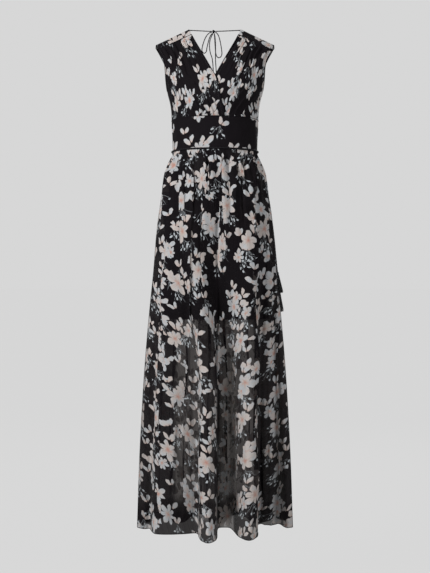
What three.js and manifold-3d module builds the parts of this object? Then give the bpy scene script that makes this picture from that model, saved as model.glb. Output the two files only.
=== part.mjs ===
// A long sleeveless dress of thin printed cloth, in the shape it keeps when it is worn, with no wearer.
// Surplice front over a deep V back, plain waistband, gathered skirt over a short slip lining,
// a thin cord tied at the waist with two tassels, and a thin cord tied in a bow at the neck.
// Millimetres. +Z is up, -Y is the front, +X is the wearer's left. The origin lies between the shoulders.
import * as THREE from "three";
import { mergeVertices } from "three/addons/utils/BufferGeometryUtils.js";
import Module from "manifold-3d";

// Levels of the seams and hems
const UNDERBUST_Z = -240;
const WAIST_Z = -327;
const LINING_HEM_Z = -796;
const HEM_Z = -1384;
const UNDERARM_Z = -160;
const BACK_V_Z = -175;

// Cloth walls and the gaps between pieces
const BODICE_WALL = 1.5;
const SKIRT_WALL = 1.2;
const LINING_WALL = 1.0;
const SEAM_GAP = 0.3;
const WRAP_LIFT = 2.8;

// The form the cloth is worn on: half-width, and depth to the front and to the back, at each height
const FORM = [
  { z: 30, side: 150, front: 4, back: 6 },
  { z: 2, side: 156, front: 18, back: 22 },
  { z: -20, side: 168, front: 27, back: 36 },
  { z: -42, side: 175, front: 42, back: 48 },
  { z: -74, side: 163, front: 68, back: 62 },
  { z: -100, side: 156, front: 86, back: 72 },
  { z: -130, side: 143.5, front: 101, back: 79 },
  { z: -160, side: 134, front: 110, back: 83 },
  { z: -190, side: 126.5, front: 113, back: 84 },
  { z: -215, side: 123, front: 111, back: 83 },
  { z: -240, side: 122, front: 107, back: 82 },
  { z: -285, side: 120, front: 102, back: 77 },
  { z: -327, side: 119, front: 99, back: 75 },
];
// How square the form's sections are: 2 is an ellipse
const FORM_SQUARENESS = 2.2;

// The skirt before its folds: half-width and depths at each height
const SKIRT = [
  { z: -327, side: 119, front: 99, back: 75 },
  { z: -340, side: 120, front: 103, back: 81 },
  { z: -357, side: 128, front: 109, back: 90 },
  { z: -390, side: 141, front: 116, back: 102 },
  { z: -455, side: 151, front: 122, back: 116 },
  { z: -550, side: 164, front: 126, back: 124 },
  { z: -660, side: 173, front: 128, back: 128 },
  { z: -780, side: 185, front: 130, back: 130 },
  { z: -920, side: 197, front: 132, back: 132 },
  { z: -1060, side: 206, front: 134, back: 134 },
  { z: -1200, side: 213, front: 136, back: 136 },
  { z: -1384, side: 219, front: 138, back: 138 },
];
const SKIRT_ROWS = [-327, -339, -353, -375, -415, -480, -570, -680, -796, -940, -1090, -1240, -1384];
// Inside this distance from the middle a fold keeps its place as the skirt widens
const STEADY_HALF_WIDTH = 100;
// The share of the skirt's length over which the cloth spreads from the gathers to the folds
const SPREAD_SHARE = 0.62;
const FOLD_GROWTH = 1.5;

// Folds at the hem: place across, width, depth from the middle plane, and how far the middle of the
// fold stands beyond its two edges. Front folds run from the wearer's right, back folds from the left.
const FRONT_FOLDS = [
  { name: "right edge roll", at: -196, width: 22, depth: 20, crown: 5 },
  { name: "right panel", at: -122, width: 84, depth: 88, crown: 8 },
  { name: "right groove", at: -58, width: 16, depth: 72, crown: -3 },
  { name: "deep middle fold", at: -18, width: 38, depth: 187, crown: 30 },
  { name: "middle valley", at: 26, width: 28, depth: 2, crown: -4 },
  { name: "deep left fold", at: 90, width: 46, depth: 158, crown: 38 },
  { name: "left groove", at: 132, width: 20, depth: -44, crown: -14 },
  { name: "left ridge", at: 158, width: 10, depth: -22, crown: 5 },
  { name: "left outer groove", at: 180, width: 12, depth: -44, crown: -7 },
  { name: "left edge roll", at: 205, width: 10, depth: 8, crown: 3 },
];
const BACK_FOLDS = [
  { name: "left side", at: 214, width: 6, depth: 44, crown: 0 },
  { name: "left edge roll", at: 182, width: 28, depth: 106, crown: 10 },
  { name: "left back groove", at: 122, width: 26, depth: 48, crown: -10 },
  { name: "left back fold", at: 66, width: 42, depth: 166, crown: 28 },
  { name: "middle back groove", at: 6, width: 34, depth: 44, crown: -8 },
  { name: "right back fold", at: -46, width: 44, depth: 172, crown: 30 },
  { name: "right back groove", at: -104, width: 28, depth: 56, crown: -8 },
  { name: "right outer fold", at: -152, width: 36, depth: 124, crown: 14 },
  { name: "right edge groove", at: -190, width: 14, depth: 62, crown: 2 },
];

// Gathers: how many in each skirt half, columns of points to each, height, and where they fade out
const SKIRT_GATHERS = 18;
const COLUMNS_PER_GATHER = 4;
const SKIRT_GATHER_HEIGHT = 2.6;
const GATHER_FADE = { full: -345, half: -455, none: -640 };

// The slip lining, inside the skirt
const LINING = [
  { z: -327, side: 117.5, front: 97.5, back: 73.5 },
  { z: -340, side: 113, front: 94, back: 71 },
  { z: -400, side: 126, front: 98, back: 86 },
  { z: -500, side: 136, front: 96, back: 92 },
  { z: -640, side: 146, front: 90, back: 92 },
  { z: -796, side: 152, front: 80, back: 84 },
];
const LINING_COLUMNS = 26;
const WAISTBAND_COLUMNS = 28;

// Neckline of a front panel, as distance from the middle on its own side, and its armhole and side
const FRONT_NECKLINE = [
  { z: 2, x: 66 },
  { z: -24, x: 53 },
  { z: -46, x: 41.5 },
  { z: -74, x: 27.5 },
  { z: -94, x: 17.5 },
  { z: -112, x: 8.5 },
  { z: -133, x: -2 },
  { z: -169, x: -11 },
  { z: -205, x: -19 },
  { z: -240, x: -26 },
];
const BACK_NECKLINE = [
  { z: 14, x: 74 },
  { z: -30, x: 59 },
  { z: -80, x: 39 },
  { z: -130, x: 18.5 },
  { z: BACK_V_Z, x: 0 },
  { z: -240, x: 0 },
];
const ARMHOLE = [
  { z: -30, x: 168 },
  { z: -42, x: 160 },
  { z: -60, x: 150 },
  { z: -74, x: 143.5 },
  { z: -100, x: 139 },
  { z: -130, x: 137.5 },
  { z: -160, x: 134 },
  { z: -190, x: 126.5 },
  { z: -215, x: 123 },
  { z: -240, x: 122 },
];
const PANEL_ROWS = [0, 0.05, 0.14, 0.27, 0.4, 0.52, 0.64, 0.76, 0.87, 0.95, 1];
const BACK_PANEL_ROWS = [0, 0.12, 0.26, 0.4, 0.54, 0.7, 0.86, 1];
const FRONT_GATHERS = 7;
const FRONT_GATHER_HEIGHT = 2.2;
const BACK_PANEL_COLUMNS = 12;
// Gathers stop short of the wrap, where the two fronts lie on each other
const WRAP_HALF_WIDTH = { plain: 34, gathered: 56 };

// Shoulder seam: the ridge of the yoke from the neck to the shoulder tip
const RIDGE = { neck: { x: 73, y: 1, z: 20 }, tip: { x: 166, y: 1, z: -24 } };
const YOKE_COLUMNS = 9;
const YOKE_ROWS = 6;

// Cords, knots and tassels
const WAIST_CORD = 3.5;
const NECK_CORD = 2.8;
const CORD_SIDES = 8;
const WAIST_CORD_LIFT = 2.7;
const WAIST_CORD_STEPS = 48;
// Angle round the waist between the middle of the knot and each end of the cord
const WAIST_KNOT_CLEARANCE = 0.108;
const WAIST_KNOT = { x: 113.6, y: 40.4, z: -327.5, radius: 6.5 };
const NECK_KNOT = { x: -3.4, y: 13, z: 17, radius: 5.2 };
const TASSELS = [
  { name: "tassel_upper", top: [177, 16.4, -664], end: [189, 17, -723], radius: 5.5, strands: 14 },
  { name: "tassel_lower", top: [176.2, 30.1, -683], end: [190, 33, -777], radius: 7, strands: 17 },
];
const TASSEL_HEAD = { length: 12, radius: 3.4, bury: 3 };
const STRAND_RADIUS = 0.55;

const CLOTH = { color: 0x231e26, roughness: 0.75, metalness: 0 };
const SLIP = { color: 0x0d0c0e, roughness: 0.6, metalness: 0 };
const CORD = { color: 0x0b0a0c, roughness: 0.65, metalness: 0 };

const mix = (a, b, t) => a + (b - a) * t;
const clamp01 = (t) => Math.min(1, Math.max(0, t));
const smooth = (from, to, value) => {
  const t = clamp01((value - from) / (to - from));
  return t * t * (3 - 2 * t);
};

// A column of a table at a height, on a smooth curve through its rows, which run downwards.
function tableAt(table, column, z) {
  const last = table.length - 1;
  if (z >= table[0].z) return table[0][column];
  if (z <= table[last].z) return table[last][column];
  const k = table.findIndex((row) => row.z < z) - 1;
  const slope = (i) => {
    const above = table[Math.max(0, i - 1)];
    const below = table[Math.min(last, i + 1)];
    return (below[column] - above[column]) / (below.z - above.z);
  };
  const span = table[k + 1].z - table[k].z;
  const t = (z - table[k].z) / span;
  const a = table[k][column];
  const b = table[k + 1][column];
  return (
    a * (1 - t) ** 2 * (1 + 2 * t) +
    b * t ** 2 * (3 - 2 * t) +
    span * (slope(k) * t * (1 - t) ** 2 - slope(k + 1) * t ** 2 * (1 - t))
  );
}

// Depth of the worn form at a point across and a height, to the front or to the back.
function formDepth(x, z, facing) {
  const across = Math.min(1, Math.abs(x) / tableAt(FORM, "side", z));
  const share = (1 - across ** FORM_SQUARENESS) ** (1 / FORM_SQUARENESS);
  return tableAt(FORM, facing, z) * share;
}

// Which way a half faces along Y, and the way its columns run along X.
const FACING = { front: { y: -1, run: 1 }, back: { y: 1, run: -1 } };

function meshOf(name, geometry, look) {
  const mesh = new THREE.Mesh(geometry, new THREE.MeshStandardMaterial(look));
  mesh.name = name;
  return mesh;
}

// Outward direction at a grid point. Rows run down and columns anticlockwise seen from above.
function gridNormal(grid, i, j) {
  const rows = grid.length - 1;
  const columns = grid[0].length - 1;
  const down = grid[Math.min(rows, i + 1)][j].clone().sub(grid[Math.max(0, i - 1)][j]);
  const along = grid[i][Math.min(columns, j + 1)].clone().sub(grid[i][Math.max(0, j - 1)]);
  return down.cross(along).normalize();
}

// A cloth wall: a grid of outside points, the same points moved in by the thickness, and its four rims.
// square(i, j) names the parts of the normal that stay 0 there, so that a seam's rim stands square.
function clothWall(grid, thickness, square) {
  const rows = grid.length;
  const columns = grid[0].length;
  const outside = [];
  const inside = [];
  for (let i = 0; i < rows; i++)
    for (let j = 0; j < columns; j++) {
      const normal = gridNormal(grid, i, j);
      const held = square(i, j);
      if (held.includes("z")) normal.z = 0;
      if (held.includes("y")) normal.y = 0;
      if (held.includes("x")) normal.x = 0;
      normal.normalize();
      outside.push(grid[i][j]);
      inside.push(grid[i][j].clone().addScaledVector(normal, -thickness));
    }
  const index = [];
  const outer = (i, j) => i * columns + j;
  const inner = (i, j) => rows * columns + i * columns + j;
  const quad = (a, b, c, d) => index.push(a, b, c, a, c, d);
  for (let i = 0; i + 1 < rows; i++)
    for (let j = 0; j + 1 < columns; j++) {
      quad(outer(i, j), outer(i + 1, j), outer(i + 1, j + 1), outer(i, j + 1));
      quad(inner(i, j), inner(i, j + 1), inner(i + 1, j + 1), inner(i + 1, j));
    }
  for (let j = 0; j + 1 < columns; j++) {
    quad(outer(0, j), outer(0, j + 1), inner(0, j + 1), inner(0, j));
    quad(outer(rows - 1, j + 1), outer(rows - 1, j), inner(rows - 1, j), inner(rows - 1, j + 1));
  }
  for (let i = 0; i + 1 < rows; i++) {
    quad(outer(i + 1, 0), outer(i, 0), inner(i, 0), inner(i + 1, 0));
    quad(outer(i, columns - 1), outer(i + 1, columns - 1), inner(i + 1, columns - 1), inner(i, columns - 1));
  }
  const geometry = new THREE.BufferGeometry().setFromPoints([...outside, ...inside]);
  geometry.setIndex(index);
  geometry.computeVertexNormals();
  return geometry;
}

// Rims at a half tube's seams stand square: level at the top and bottom, and in X and Z at the sides.
function tubeRims(grid) {
  const rows = grid.length - 1;
  const columns = grid[0].length - 1;
  return (i, j) => (i === 0 || i === rows ? "z" : "") + (j === 0 || j === columns ? "y" : "");
}

// A plain half tube through the sections of a table, from one side seam to the other.
function halfTube(table, facing, heights, columns) {
  const { y, run } = FACING[facing];
  return heights.map((z) =>
    Array.from({ length: columns + 1 }, (_, j) => {
      const angle = Math.PI * (j / columns - 0.5);
      const sine = Math.sin(angle);
      const cosine = Math.max(0, Math.cos(angle));
      const power = 2 / FORM_SQUARENESS;
      const x = run * tableAt(table, "side", z) * Math.sign(sine) * Math.abs(sine) ** power;
      const depth = tableAt(table, facing, z) * cosine ** power;
      return new THREE.Vector3(x, y * Math.max(SEAM_GAP / 2, depth), z);
    }),
  );
}

function waistband(facing) {
  const heights = [UNDERBUST_Z - SEAM_GAP / 2, -285, WAIST_Z + SEAM_GAP / 2];
  const grid = halfTube(FORM, facing, heights, WAISTBAND_COLUMNS);
  return meshOf("waistband_" + facing, clothWall(grid, BODICE_WALL, tubeRims(grid)), CLOTH);
}

function lining(facing) {
  const heights = [WAIST_Z - SEAM_GAP / 2, -340, -400, -500, -640, LINING_HEM_Z];
  const grid = halfTube(LINING, facing, heights, LINING_COLUMNS);
  return meshOf("lining_" + facing, clothWall(grid, LINING_WALL, tubeRims(grid)), SLIP);
}

// The hem seen from above, as a smooth curve through its folds, in the order its columns run.
function hemCurve(folds, facing) {
  const { y, run } = FACING[facing];
  const side = tableAt(SKIRT, "side", HEM_Z);
  const points = [new THREE.Vector3(-run * side, (y * SEAM_GAP) / 2, 0)];
  for (const { at, width, depth, crown } of folds)
    for (const [edge, height] of [
      [-0.5, depth - crown],
      [0, depth],
      [0.5, depth - crown],
    ])
      points.push(new THREE.Vector3(at + run * edge * width, y * height, 0));
  points.push(new THREE.Vector3(run * side, (y * SEAM_GAP) / 2, 0));
  return new THREE.CatmullRomCurve3(points, false, "centripetal");
}

// Where a point of the hem's folds lies across the skirt at a height.
function narrowed(x, z) {
  const outer = Math.abs(x) - STEADY_HALF_WIDTH;
  if (outer <= 0) return x;
  const hemSide = tableAt(SKIRT, "side", HEM_Z) - STEADY_HALF_WIDTH;
  const side = tableAt(SKIRT, "side", z) - STEADY_HALF_WIDTH;
  return Math.sign(x) * (STEADY_HALF_WIDTH + (outer * side) / hemSide);
}

// Height of the gathers at a level: none at the seam itself, full just below, then fading.
function gatherHeight(z) {
  const { full, half, none } = GATHER_FADE;
  const risen = smooth(WAIST_Z, full, z);
  const upper = mix(1, 0.5, smooth(full, half, z));
  return SKIRT_GATHER_HEIGHT * risen * upper * (1 - smooth(half, none, z));
}

function skirtGrid(facing, folds) {
  const { y, run } = FACING[facing];
  const columns = SKIRT_GATHERS * COLUMNS_PER_GATHER;
  const hem = hemCurve(folds, facing).getSpacedPoints(columns);
  return SKIRT_ROWS.map((level) => {
    const z = level === WAIST_Z ? WAIST_Z - SEAM_GAP / 2 : level;
    const down = (WAIST_Z - z) / (WAIST_Z - HEM_Z);
    const spread = smooth(0, SPREAD_SHARE, down);
    const grown = clamp01(down) ** FOLD_GROWTH;
    const side = tableAt(SKIRT, "side", z);
    const depth = tableAt(SKIRT, facing, z);
    return hem.map((fold, j) => {
      const angle = Math.PI * (j / columns - 0.5);
      const sine = Math.sin(angle);
      const even = run * side * Math.sign(sine) * Math.abs(sine) ** (2 / FORM_SQUARENESS);
      const x = mix(even, narrowed(fold.x, z), spread);
      const across = Math.min(1, Math.abs(x) / side);
      const plain = depth * (1 - across ** FORM_SQUARENESS) ** (1 / FORM_SQUARENESS);
      const point = new THREE.Vector3(x, mix(y * plain, fold.y, grown), z);
      if (j === 0 || j === columns) return point.setY((y * SEAM_GAP) / 2);
      const uneven = 1 + 0.35 * Math.sin(j * 1.7 + 0.6) + 0.2 * Math.sin(j * 0.61);
      const wave = Math.cos((2 * Math.PI * j) / COLUMNS_PER_GATHER + Math.PI / 4);
      const outward = new THREE.Vector3(run * sine, y * Math.cos(angle), 0);
      return point.addScaledVector(outward, gatherHeight(z) * uneven * wave);
    });
  });
}

function skirt(facing, folds) {
  const grid = skirtGrid(facing, folds);
  return meshOf("skirt_" + facing, clothWall(grid, SKIRT_WALL, tubeRims(grid)), CLOTH);
}

// Height and place along a boundary table at a share of the way down it.
function edgeAt(table, top, share) {
  const z = mix(top, UNDERBUST_Z + SEAM_GAP / 2, share);
  return { x: tableAt(table, "x", z), z };
}

// A front panel between its neckline and its armhole and side. hand is -1 for the wearer's right.
function frontPanel(name, hand, lift) {
  const columns = FRONT_GATHERS * COLUMNS_PER_GATHER;
  const lastRow = PANEL_ROWS.length - 1;
  const rows = PANEL_ROWS.map((share) => {
    const neck = edgeAt(FRONT_NECKLINE, 1.2, share);
    const arm = edgeAt(ARMHOLE, -42.8, share);
    return Array.from({ length: columns + 1 }, (_, j) => {
      const u = j / columns;
      const x = mix(neck.x, arm.x, u);
      const z = mix(neck.z, arm.z, u);
      const clear = smooth(WRAP_HALF_WIDTH.plain, WRAP_HALF_WIDTH.gathered, x) * (1 - smooth(0.9, 1, u));
      const fromYoke = smooth(0, 0.05, share) * (1 - smooth(0.14, 0.52, share));
      const fromBand = smooth(1, 0.95, share) * (1 - smooth(0.87, 0.55, share));
      const uneven = 1 + 0.3 * Math.sin(j * 1.3 + 1);
      const wave = Math.cos((2 * Math.PI * j) / COLUMNS_PER_GATHER);
      const gather = FRONT_GATHER_HEIGHT * clear * uneven * wave * Math.max(fromYoke, fromBand);
      const raised = lift * (1 - smooth(WRAP_HALF_WIDTH.plain, WRAP_HALF_WIDTH.plain + 60, x)) + gather;
      const depth = Math.max(SEAM_GAP / 2, formDepth(x, z, "front") + raised);
      return new THREE.Vector3(hand * x, -depth, z);
    });
  });
  const grid = hand < 0 ? rows.map((row) => row.reverse()) : rows;
  const sideColumn = hand < 0 ? 0 : columns;
  const square = (i, j) => {
    const seam = j === sideColumn && grid[i][j].z < UNDERARM_Z;
    return (i === lastRow ? "z" : "") + (seam ? "y" : "");
  };
  return meshOf(name, clothWall(grid, BODICE_WALL, square), CLOTH);
}

function backPanel(name, hand) {
  const lastRow = BACK_PANEL_ROWS.length - 1;
  const rows = BACK_PANEL_ROWS.map((share) => {
    const neck = edgeAt(BACK_NECKLINE, 13.1, share);
    const arm = edgeAt(ARMHOLE, -30.9, share);
    neck.x = Math.max(SEAM_GAP / 2, neck.x);
    return Array.from({ length: BACK_PANEL_COLUMNS + 1 }, (_, j) => {
      const u = j / BACK_PANEL_COLUMNS;
      const x = mix(neck.x, arm.x, u);
      const z = mix(neck.z, arm.z, u);
      return new THREE.Vector3(hand * x, Math.max(SEAM_GAP / 2, formDepth(x, z, "back")), z);
    });
  });
  const grid = hand > 0 ? rows.map((row) => row.reverse()) : rows;
  const sideColumn = hand > 0 ? 0 : BACK_PANEL_COLUMNS;
  const middleColumn = BACK_PANEL_COLUMNS - sideColumn;
  const square = (i, j) => {
    const sideSeam = j === sideColumn && grid[i][j].z < UNDERARM_Z;
    const middleSeam = j === middleColumn && grid[i][j].z < BACK_V_Z + 1;
    return (i === lastRow ? "z" : "") + (sideSeam ? "y" : "") + (middleSeam ? "x" : "");
  };
  return meshOf(name, clothWall(grid, BODICE_WALL, square), CLOTH);
}

// The forward shoulder yoke: a saddle from the back edge over the ridge to the front edge.
function yoke(name, hand) {
  const rows = Array.from({ length: YOKE_ROWS + 1 }, (_, i) => {
    const s = i / YOKE_ROWS;
    return Array.from({ length: YOKE_COLUMNS + 1 }, (_, j) => {
      const t = j / YOKE_COLUMNS;
      const between = (a, b) => mix(a, b, t);
      const back = { x: between(74, 168), z: between(14, -30) };
      const front = { x: between(66, 160), z: between(2, -42) };
      const ridge = {
        x: between(RIDGE.neck.x, RIDGE.tip.x),
        y: between(RIDGE.neck.y, RIDGE.tip.y),
        z: between(RIDGE.neck.z, RIDGE.tip.z),
      };
      const w = [2 * (s - 0.5) * (s - 1), -4 * s * (s - 1), 2 * s * (s - 0.5)];
      const blend = (a, b, c) => w[0] * a + w[1] * b + w[2] * c;
      return new THREE.Vector3(
        hand * blend(back.x, ridge.x, front.x),
        blend(formDepth(back.x, back.z, "back"), ridge.y, -formDepth(front.x, front.z, "front")),
        blend(back.z, ridge.z, front.z),
      );
    });
  });
  const grid = hand < 0 ? rows.map((row) => row.reverse()) : rows;
  return meshOf(name, clothWall(grid, BODICE_WALL, () => ""), CLOTH);
}

// A round cord of eight sides along a smooth curve through its points.
function cordMesh(name, points, diameter, steps) {
  const section = new THREE.Shape();
  for (let k = 0; k < CORD_SIDES; k++) {
    const angle = (2 * Math.PI * k) / CORD_SIDES;
    const corner = [(diameter / 2) * Math.cos(angle), (diameter / 2) * Math.sin(angle)];
    if (k === 0) section.moveTo(...corner);
    else section.lineTo(...corner);
  }
  section.closePath();
  const path = new THREE.CatmullRomCurve3(
    points.map(([x, y, z]) => new THREE.Vector3(x, y, z)),
    false,
    "centripetal",
  );
  return meshOf(name, new THREE.ExtrudeGeometry(section, { steps, extrudePath: path }), CORD);
}

// The waist cord lies round the seam from one side of its knot to the other.
function waistCord() {
  const backDepth = tableAt(FORM, "back", WAIST_Z) + WAIST_CORD_LIFT;
  const start = Math.asin((WAIST_KNOT.y / backDepth) ** (FORM_SQUARENESS / 2));
  const points = [];
  for (let k = 0; k <= WAIST_CORD_STEPS; k++) {
    const turned = mix(WAIST_KNOT_CLEARANCE, 2 * Math.PI - WAIST_KNOT_CLEARANCE, k / WAIST_CORD_STEPS);
    const angle = start + turned;
    const facing = Math.sin(angle) > 0 ? "back" : "front";
    const power = 2 / FORM_SQUARENESS;
    const reach = (value) => Math.sign(value) * Math.abs(value) ** power;
    const side = tableAt(FORM, "side", WAIST_Z) + WAIST_CORD_LIFT;
    const depth = tableAt(FORM, facing, WAIST_Z) + WAIST_CORD_LIFT;
    points.push([side * reach(Math.cos(angle)), depth * reach(Math.sin(angle)), WAIST_Z]);
  }
  return cordMesh("waist_cord", points, WAIST_CORD, WAIST_CORD_STEPS);
}

// Free ends of the waist cord, down the outside of the skirt to their tassels.
const WAIST_END_UPPER = [
  [116.6, 39.4, -333.9],
  [118, 38.4, -341],
  [124.4, 37, -353],
  [133.4, 35, -366],
  [139.2, 33, -382],
  [142.4, 31, -400],
  [146.2, 29, -425],
  [152.4, 27, -455],
  [157.4, 25, -485],
  [161.3, 23, -515],
  [165.6, 21, -550],
  [169.3, 19, -585],
  [172, 18, -615],
  [174.6, 17, -642],
  [176.9, 16.4, -663.6],
];
const WAIST_END_LOWER = [
  [113.9, 45.5, -332.9],
  [115.4, 46.6, -339.5],
  [119.6, 46.8, -351],
  [126, 46, -366],
  [131.6, 45, -382],
  [138, 43.6, -400],
  [144.4, 42, -425],
  [149, 40.6, -455],
  [153.4, 39, -485],
  [157.4, 37.6, -515],
  [162.2, 36, -550],
  [166.8, 34.4, -585],
  [169.8, 33, -620],
  [172.4, 31.6, -650],
  [176, 30.2, -682.6],
];

// The neck cord: two taut runs from the shoulders, and below the knot two loops and two free ends.
const NECK_RUN_RIGHT = [
  [-72.4, 4, 18.4],
  [-56, 6.5, 18.2],
  [-40, 9, 18],
  [-24, 11.4, 17.8],
  [-9.2, 12.8, 17.6],
];
const NECK_RUN_LEFT = [
  [72.4, 4, 18.4],
  [54, 6.5, 18.2],
  [36, 9, 18],
  [18, 11.4, 17.8],
  [2.4, 12.8, 17.6],
];
const NECK_LOOP_RIGHT = [
  [-7.6, 9.4, 15],
  [-14, 8.6, 13.2],
  [-20, 8.4, 8.5],
  [-25, 8.4, 2],
  [-29, 8.4, -6],
  [-32.4, 8.4, -15],
  [-35, 8.4, -24],
  [-36.6, 8.4, -32],
  [-36.2, 8.4, -40],
  [-30.3, 8.4, -45.4],
  [-24.4, 8.4, -40],
  [-23, 8.4, -31],
  [-20.4, 8.4, -20],
  [-17.6, 8.4, -8],
  [-14, 8.6, 2],
  [-8, 9.6, 11.2],
];
const NECK_LOOP_LEFT = [
  [1, 9.8, 14.8],
  [6.6, 8.8, 10],
  [10.4, 8.4, 3],
  [13.2, 8.4, -6],
  [15.6, 8.4, -17],
  [17.6, 8.4, -28],
  [19.2, 8.4, -39],
  [19.4, 8.4, -48],
  [16.6, 8.4, -55],
  [10.6, 8.4, -58],
  [5, 8.4, -54],
  [2.2, 8.4, -45],
  [0.8, 8.4, -32],
  [-0.2, 8.4, -16],
  [-1, 8.8, -2],
  [-2, 10.6, 10.8],
];
const NECK_END_RIGHT = [
  [-5.6, 15.5, 12.6],
  [-10.2, 17.4, 4],
  [-14, 17.6, -6],
  [-15.4, 17.6, -18],
  [-15.2, 17.6, -30],
  [-12.8, 17.6, -44],
  [-8.6, 17.6, -56],
  [-6.4, 17.6, -70],
  [-5.4, 17.6, -86],
  [-4.6, 17.6, -102],
  [-4, 17.6, -118],
  [-3.6, 17.6, -134],
  [-3.4, 17.6, -150],
];
const NECK_END_LEFT = [
  [-1.9, 16.2, 12.6],
  [0, 18, 3],
  [1.2, 18.2, -10],
  [1.6, 18.2, -24],
  [1.6, 18.2, -38],
  [1.4, 18.2, -52],
  [1.8, 18.2, -68],
  [2.8, 18.2, -84],
  [3.6, 18.2, -100],
  [4.2, 18.2, -116],
  [4.6, 18.2, -132],
  [4.8, 18.2, -148],
  [4.8, 18.2, -160],
];

// A tied knot, as a plain round body that the detailed one fits.
function knot(name, { x, y, z, radius }) {
  const geometry = new THREE.SphereGeometry(radius, 10, 7);
  const mesh = meshOf(name, geometry, CORD);
  mesh.position.set(x, y, z);
  return mesh;
}

const wasm = await Module();
wasm.setup();

function solidOf(geometry) {
  const bare = geometry.clone().deleteAttribute("normal").deleteAttribute("uv");
  const merged = mergeVertices(bare, 1e-4);
  return new wasm.Manifold(
    new wasm.Mesh({
      numProp: 3,
      vertProperties: merged.attributes.position.array,
      triVerts: new Uint32Array(merged.index.array),
    }),
  );
}

function geometryOf(solid) {
  const mesh = solid.getMesh();
  const geometry = new THREE.BufferGeometry();
  geometry.setAttribute("position", new THREE.BufferAttribute(mesh.vertProperties, 3));
  geometry.setIndex(new THREE.BufferAttribute(mesh.triVerts, 1));
  geometry.computeVertexNormals();
  return geometry;
}

// A tassel along -Z from its top: a bound head with separate strands, fused into it at their roots.
function tassel({ name, top, end, radius, strands }) {
  const from = new THREE.Vector3(...top);
  const along = new THREE.Vector3(...end).sub(from);
  const length = along.length();
  const outline = [
    [0, 0],
    [0.55, 0],
    [1, -0.4],
    [0.62, -0.7],
    [0.95, -1],
    [0, -1],
  ].map(([r, z]) => new THREE.Vector2(r * TASSEL_HEAD.radius, -z * TASSEL_HEAD.length));
  const head = new THREE.LatheGeometry(outline, 10);
  head.rotateX(-Math.PI / 2);
  let solid = solidOf(head);
  for (let k = 0; k < strands; k++) {
    const ring = Math.sqrt((k + 0.5) / strands);
    const angle = k * Math.PI * (3 - Math.sqrt(5));
    const root = ring * (TASSEL_HEAD.radius * 0.95 - STRAND_RADIUS * 1.6);
    const reach = ring * (radius - STRAND_RADIUS);
    const low = -length * (1 - 0.04 * (0.5 + 0.5 * Math.sin(k * 2.3)));
    const high = -TASSEL_HEAD.length + TASSEL_HEAD.bury;
    const strand = new THREE.CylinderGeometry(STRAND_RADIUS, STRAND_RADIUS, 1, 4);
    strand.rotateX(Math.PI / 2).translate(0, 0, 0.5);
    const foot = new THREE.Vector3(reach * Math.cos(angle), reach * Math.sin(angle), low);
    const start = new THREE.Vector3(root * Math.cos(angle), root * Math.sin(angle), high);
    const way = start.clone().sub(foot);
    strand.scale(1, 1, way.length());
    strand.applyQuaternion(
      new THREE.Quaternion().setFromUnitVectors(new THREE.Vector3(0, 0, 1), way.normalize()),
    );
    strand.translate(foot.x, foot.y, foot.z);
    solid = solid.add(solidOf(strand));
  }
  const mesh = meshOf(name, geometryOf(solid), CORD);
  mesh.position.copy(from);
  mesh.quaternion.setFromUnitVectors(new THREE.Vector3(0, 0, -1), along.normalize());
  return mesh;
}

const dress = new THREE.Group();
dress.add(
  frontPanel("front_bodice_right", -1, WRAP_LIFT),
  frontPanel("front_bodice_left", 1, 0),
  backPanel("back_bodice_right", -1),
  backPanel("back_bodice_left", 1),
  yoke("yoke_right", -1),
  yoke("yoke_left", 1),
  waistband("front"),
  waistband("back"),
  skirt("front", FRONT_FOLDS),
  skirt("back", BACK_FOLDS),
  lining("front"),
  lining("back"),
  waistCord(),
  knot("waist_knot", WAIST_KNOT),
  cordMesh("waist_end_upper", WAIST_END_UPPER, WAIST_CORD, 12),
  cordMesh("waist_end_lower", WAIST_END_LOWER, WAIST_CORD, 12),
  ...TASSELS.map(tassel),
  cordMesh("neck_run_right", NECK_RUN_RIGHT, NECK_CORD, 3),
  cordMesh("neck_run_left", NECK_RUN_LEFT, NECK_CORD, 3),
  knot("neck_knot", NECK_KNOT),
  cordMesh("neck_loop_right", NECK_LOOP_RIGHT, NECK_CORD, 16),
  cordMesh("neck_loop_left", NECK_LOOP_LEFT, NECK_CORD, 16),
  cordMesh("neck_end_right", NECK_END_RIGHT, NECK_CORD, 10),
  cordMesh("neck_end_left", NECK_END_LEFT, NECK_CORD, 10),
);

export default dress;
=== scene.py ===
# A long sleeveless dress of thin printed cloth in its worn shape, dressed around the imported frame.
# The scene is in metres and the tables are in millimetres. +Z is up, -Y is the front, +X is the wearer's left.
import math
from functools import partialmethod

import bpy
import numpy as np
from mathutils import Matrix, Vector


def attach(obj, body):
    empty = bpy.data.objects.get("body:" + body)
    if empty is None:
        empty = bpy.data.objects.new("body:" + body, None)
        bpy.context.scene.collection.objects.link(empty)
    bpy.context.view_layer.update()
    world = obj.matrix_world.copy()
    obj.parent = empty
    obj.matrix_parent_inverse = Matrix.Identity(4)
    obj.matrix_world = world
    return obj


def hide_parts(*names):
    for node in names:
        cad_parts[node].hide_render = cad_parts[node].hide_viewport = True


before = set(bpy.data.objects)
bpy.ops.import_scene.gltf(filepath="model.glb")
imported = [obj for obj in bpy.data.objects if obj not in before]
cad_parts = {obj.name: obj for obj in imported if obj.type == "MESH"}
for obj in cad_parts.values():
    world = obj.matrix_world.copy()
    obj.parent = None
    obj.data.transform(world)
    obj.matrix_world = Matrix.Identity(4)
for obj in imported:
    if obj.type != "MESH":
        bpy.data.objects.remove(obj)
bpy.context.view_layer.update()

ROOT = "root"
MM = 0.001

# Levels of the seams and hems, as in the part's source
UNDERBUST_Z = -240.0
WAIST_Z = -327.0
LINING_HEM_Z = -796.0
HEM_Z = -1384.0
BACK_V_Z = -175.0
ARMHOLE_END_Z = -156.0
SEAM_GAP = 0.3
WRAP_LIFT = 2.8

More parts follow.
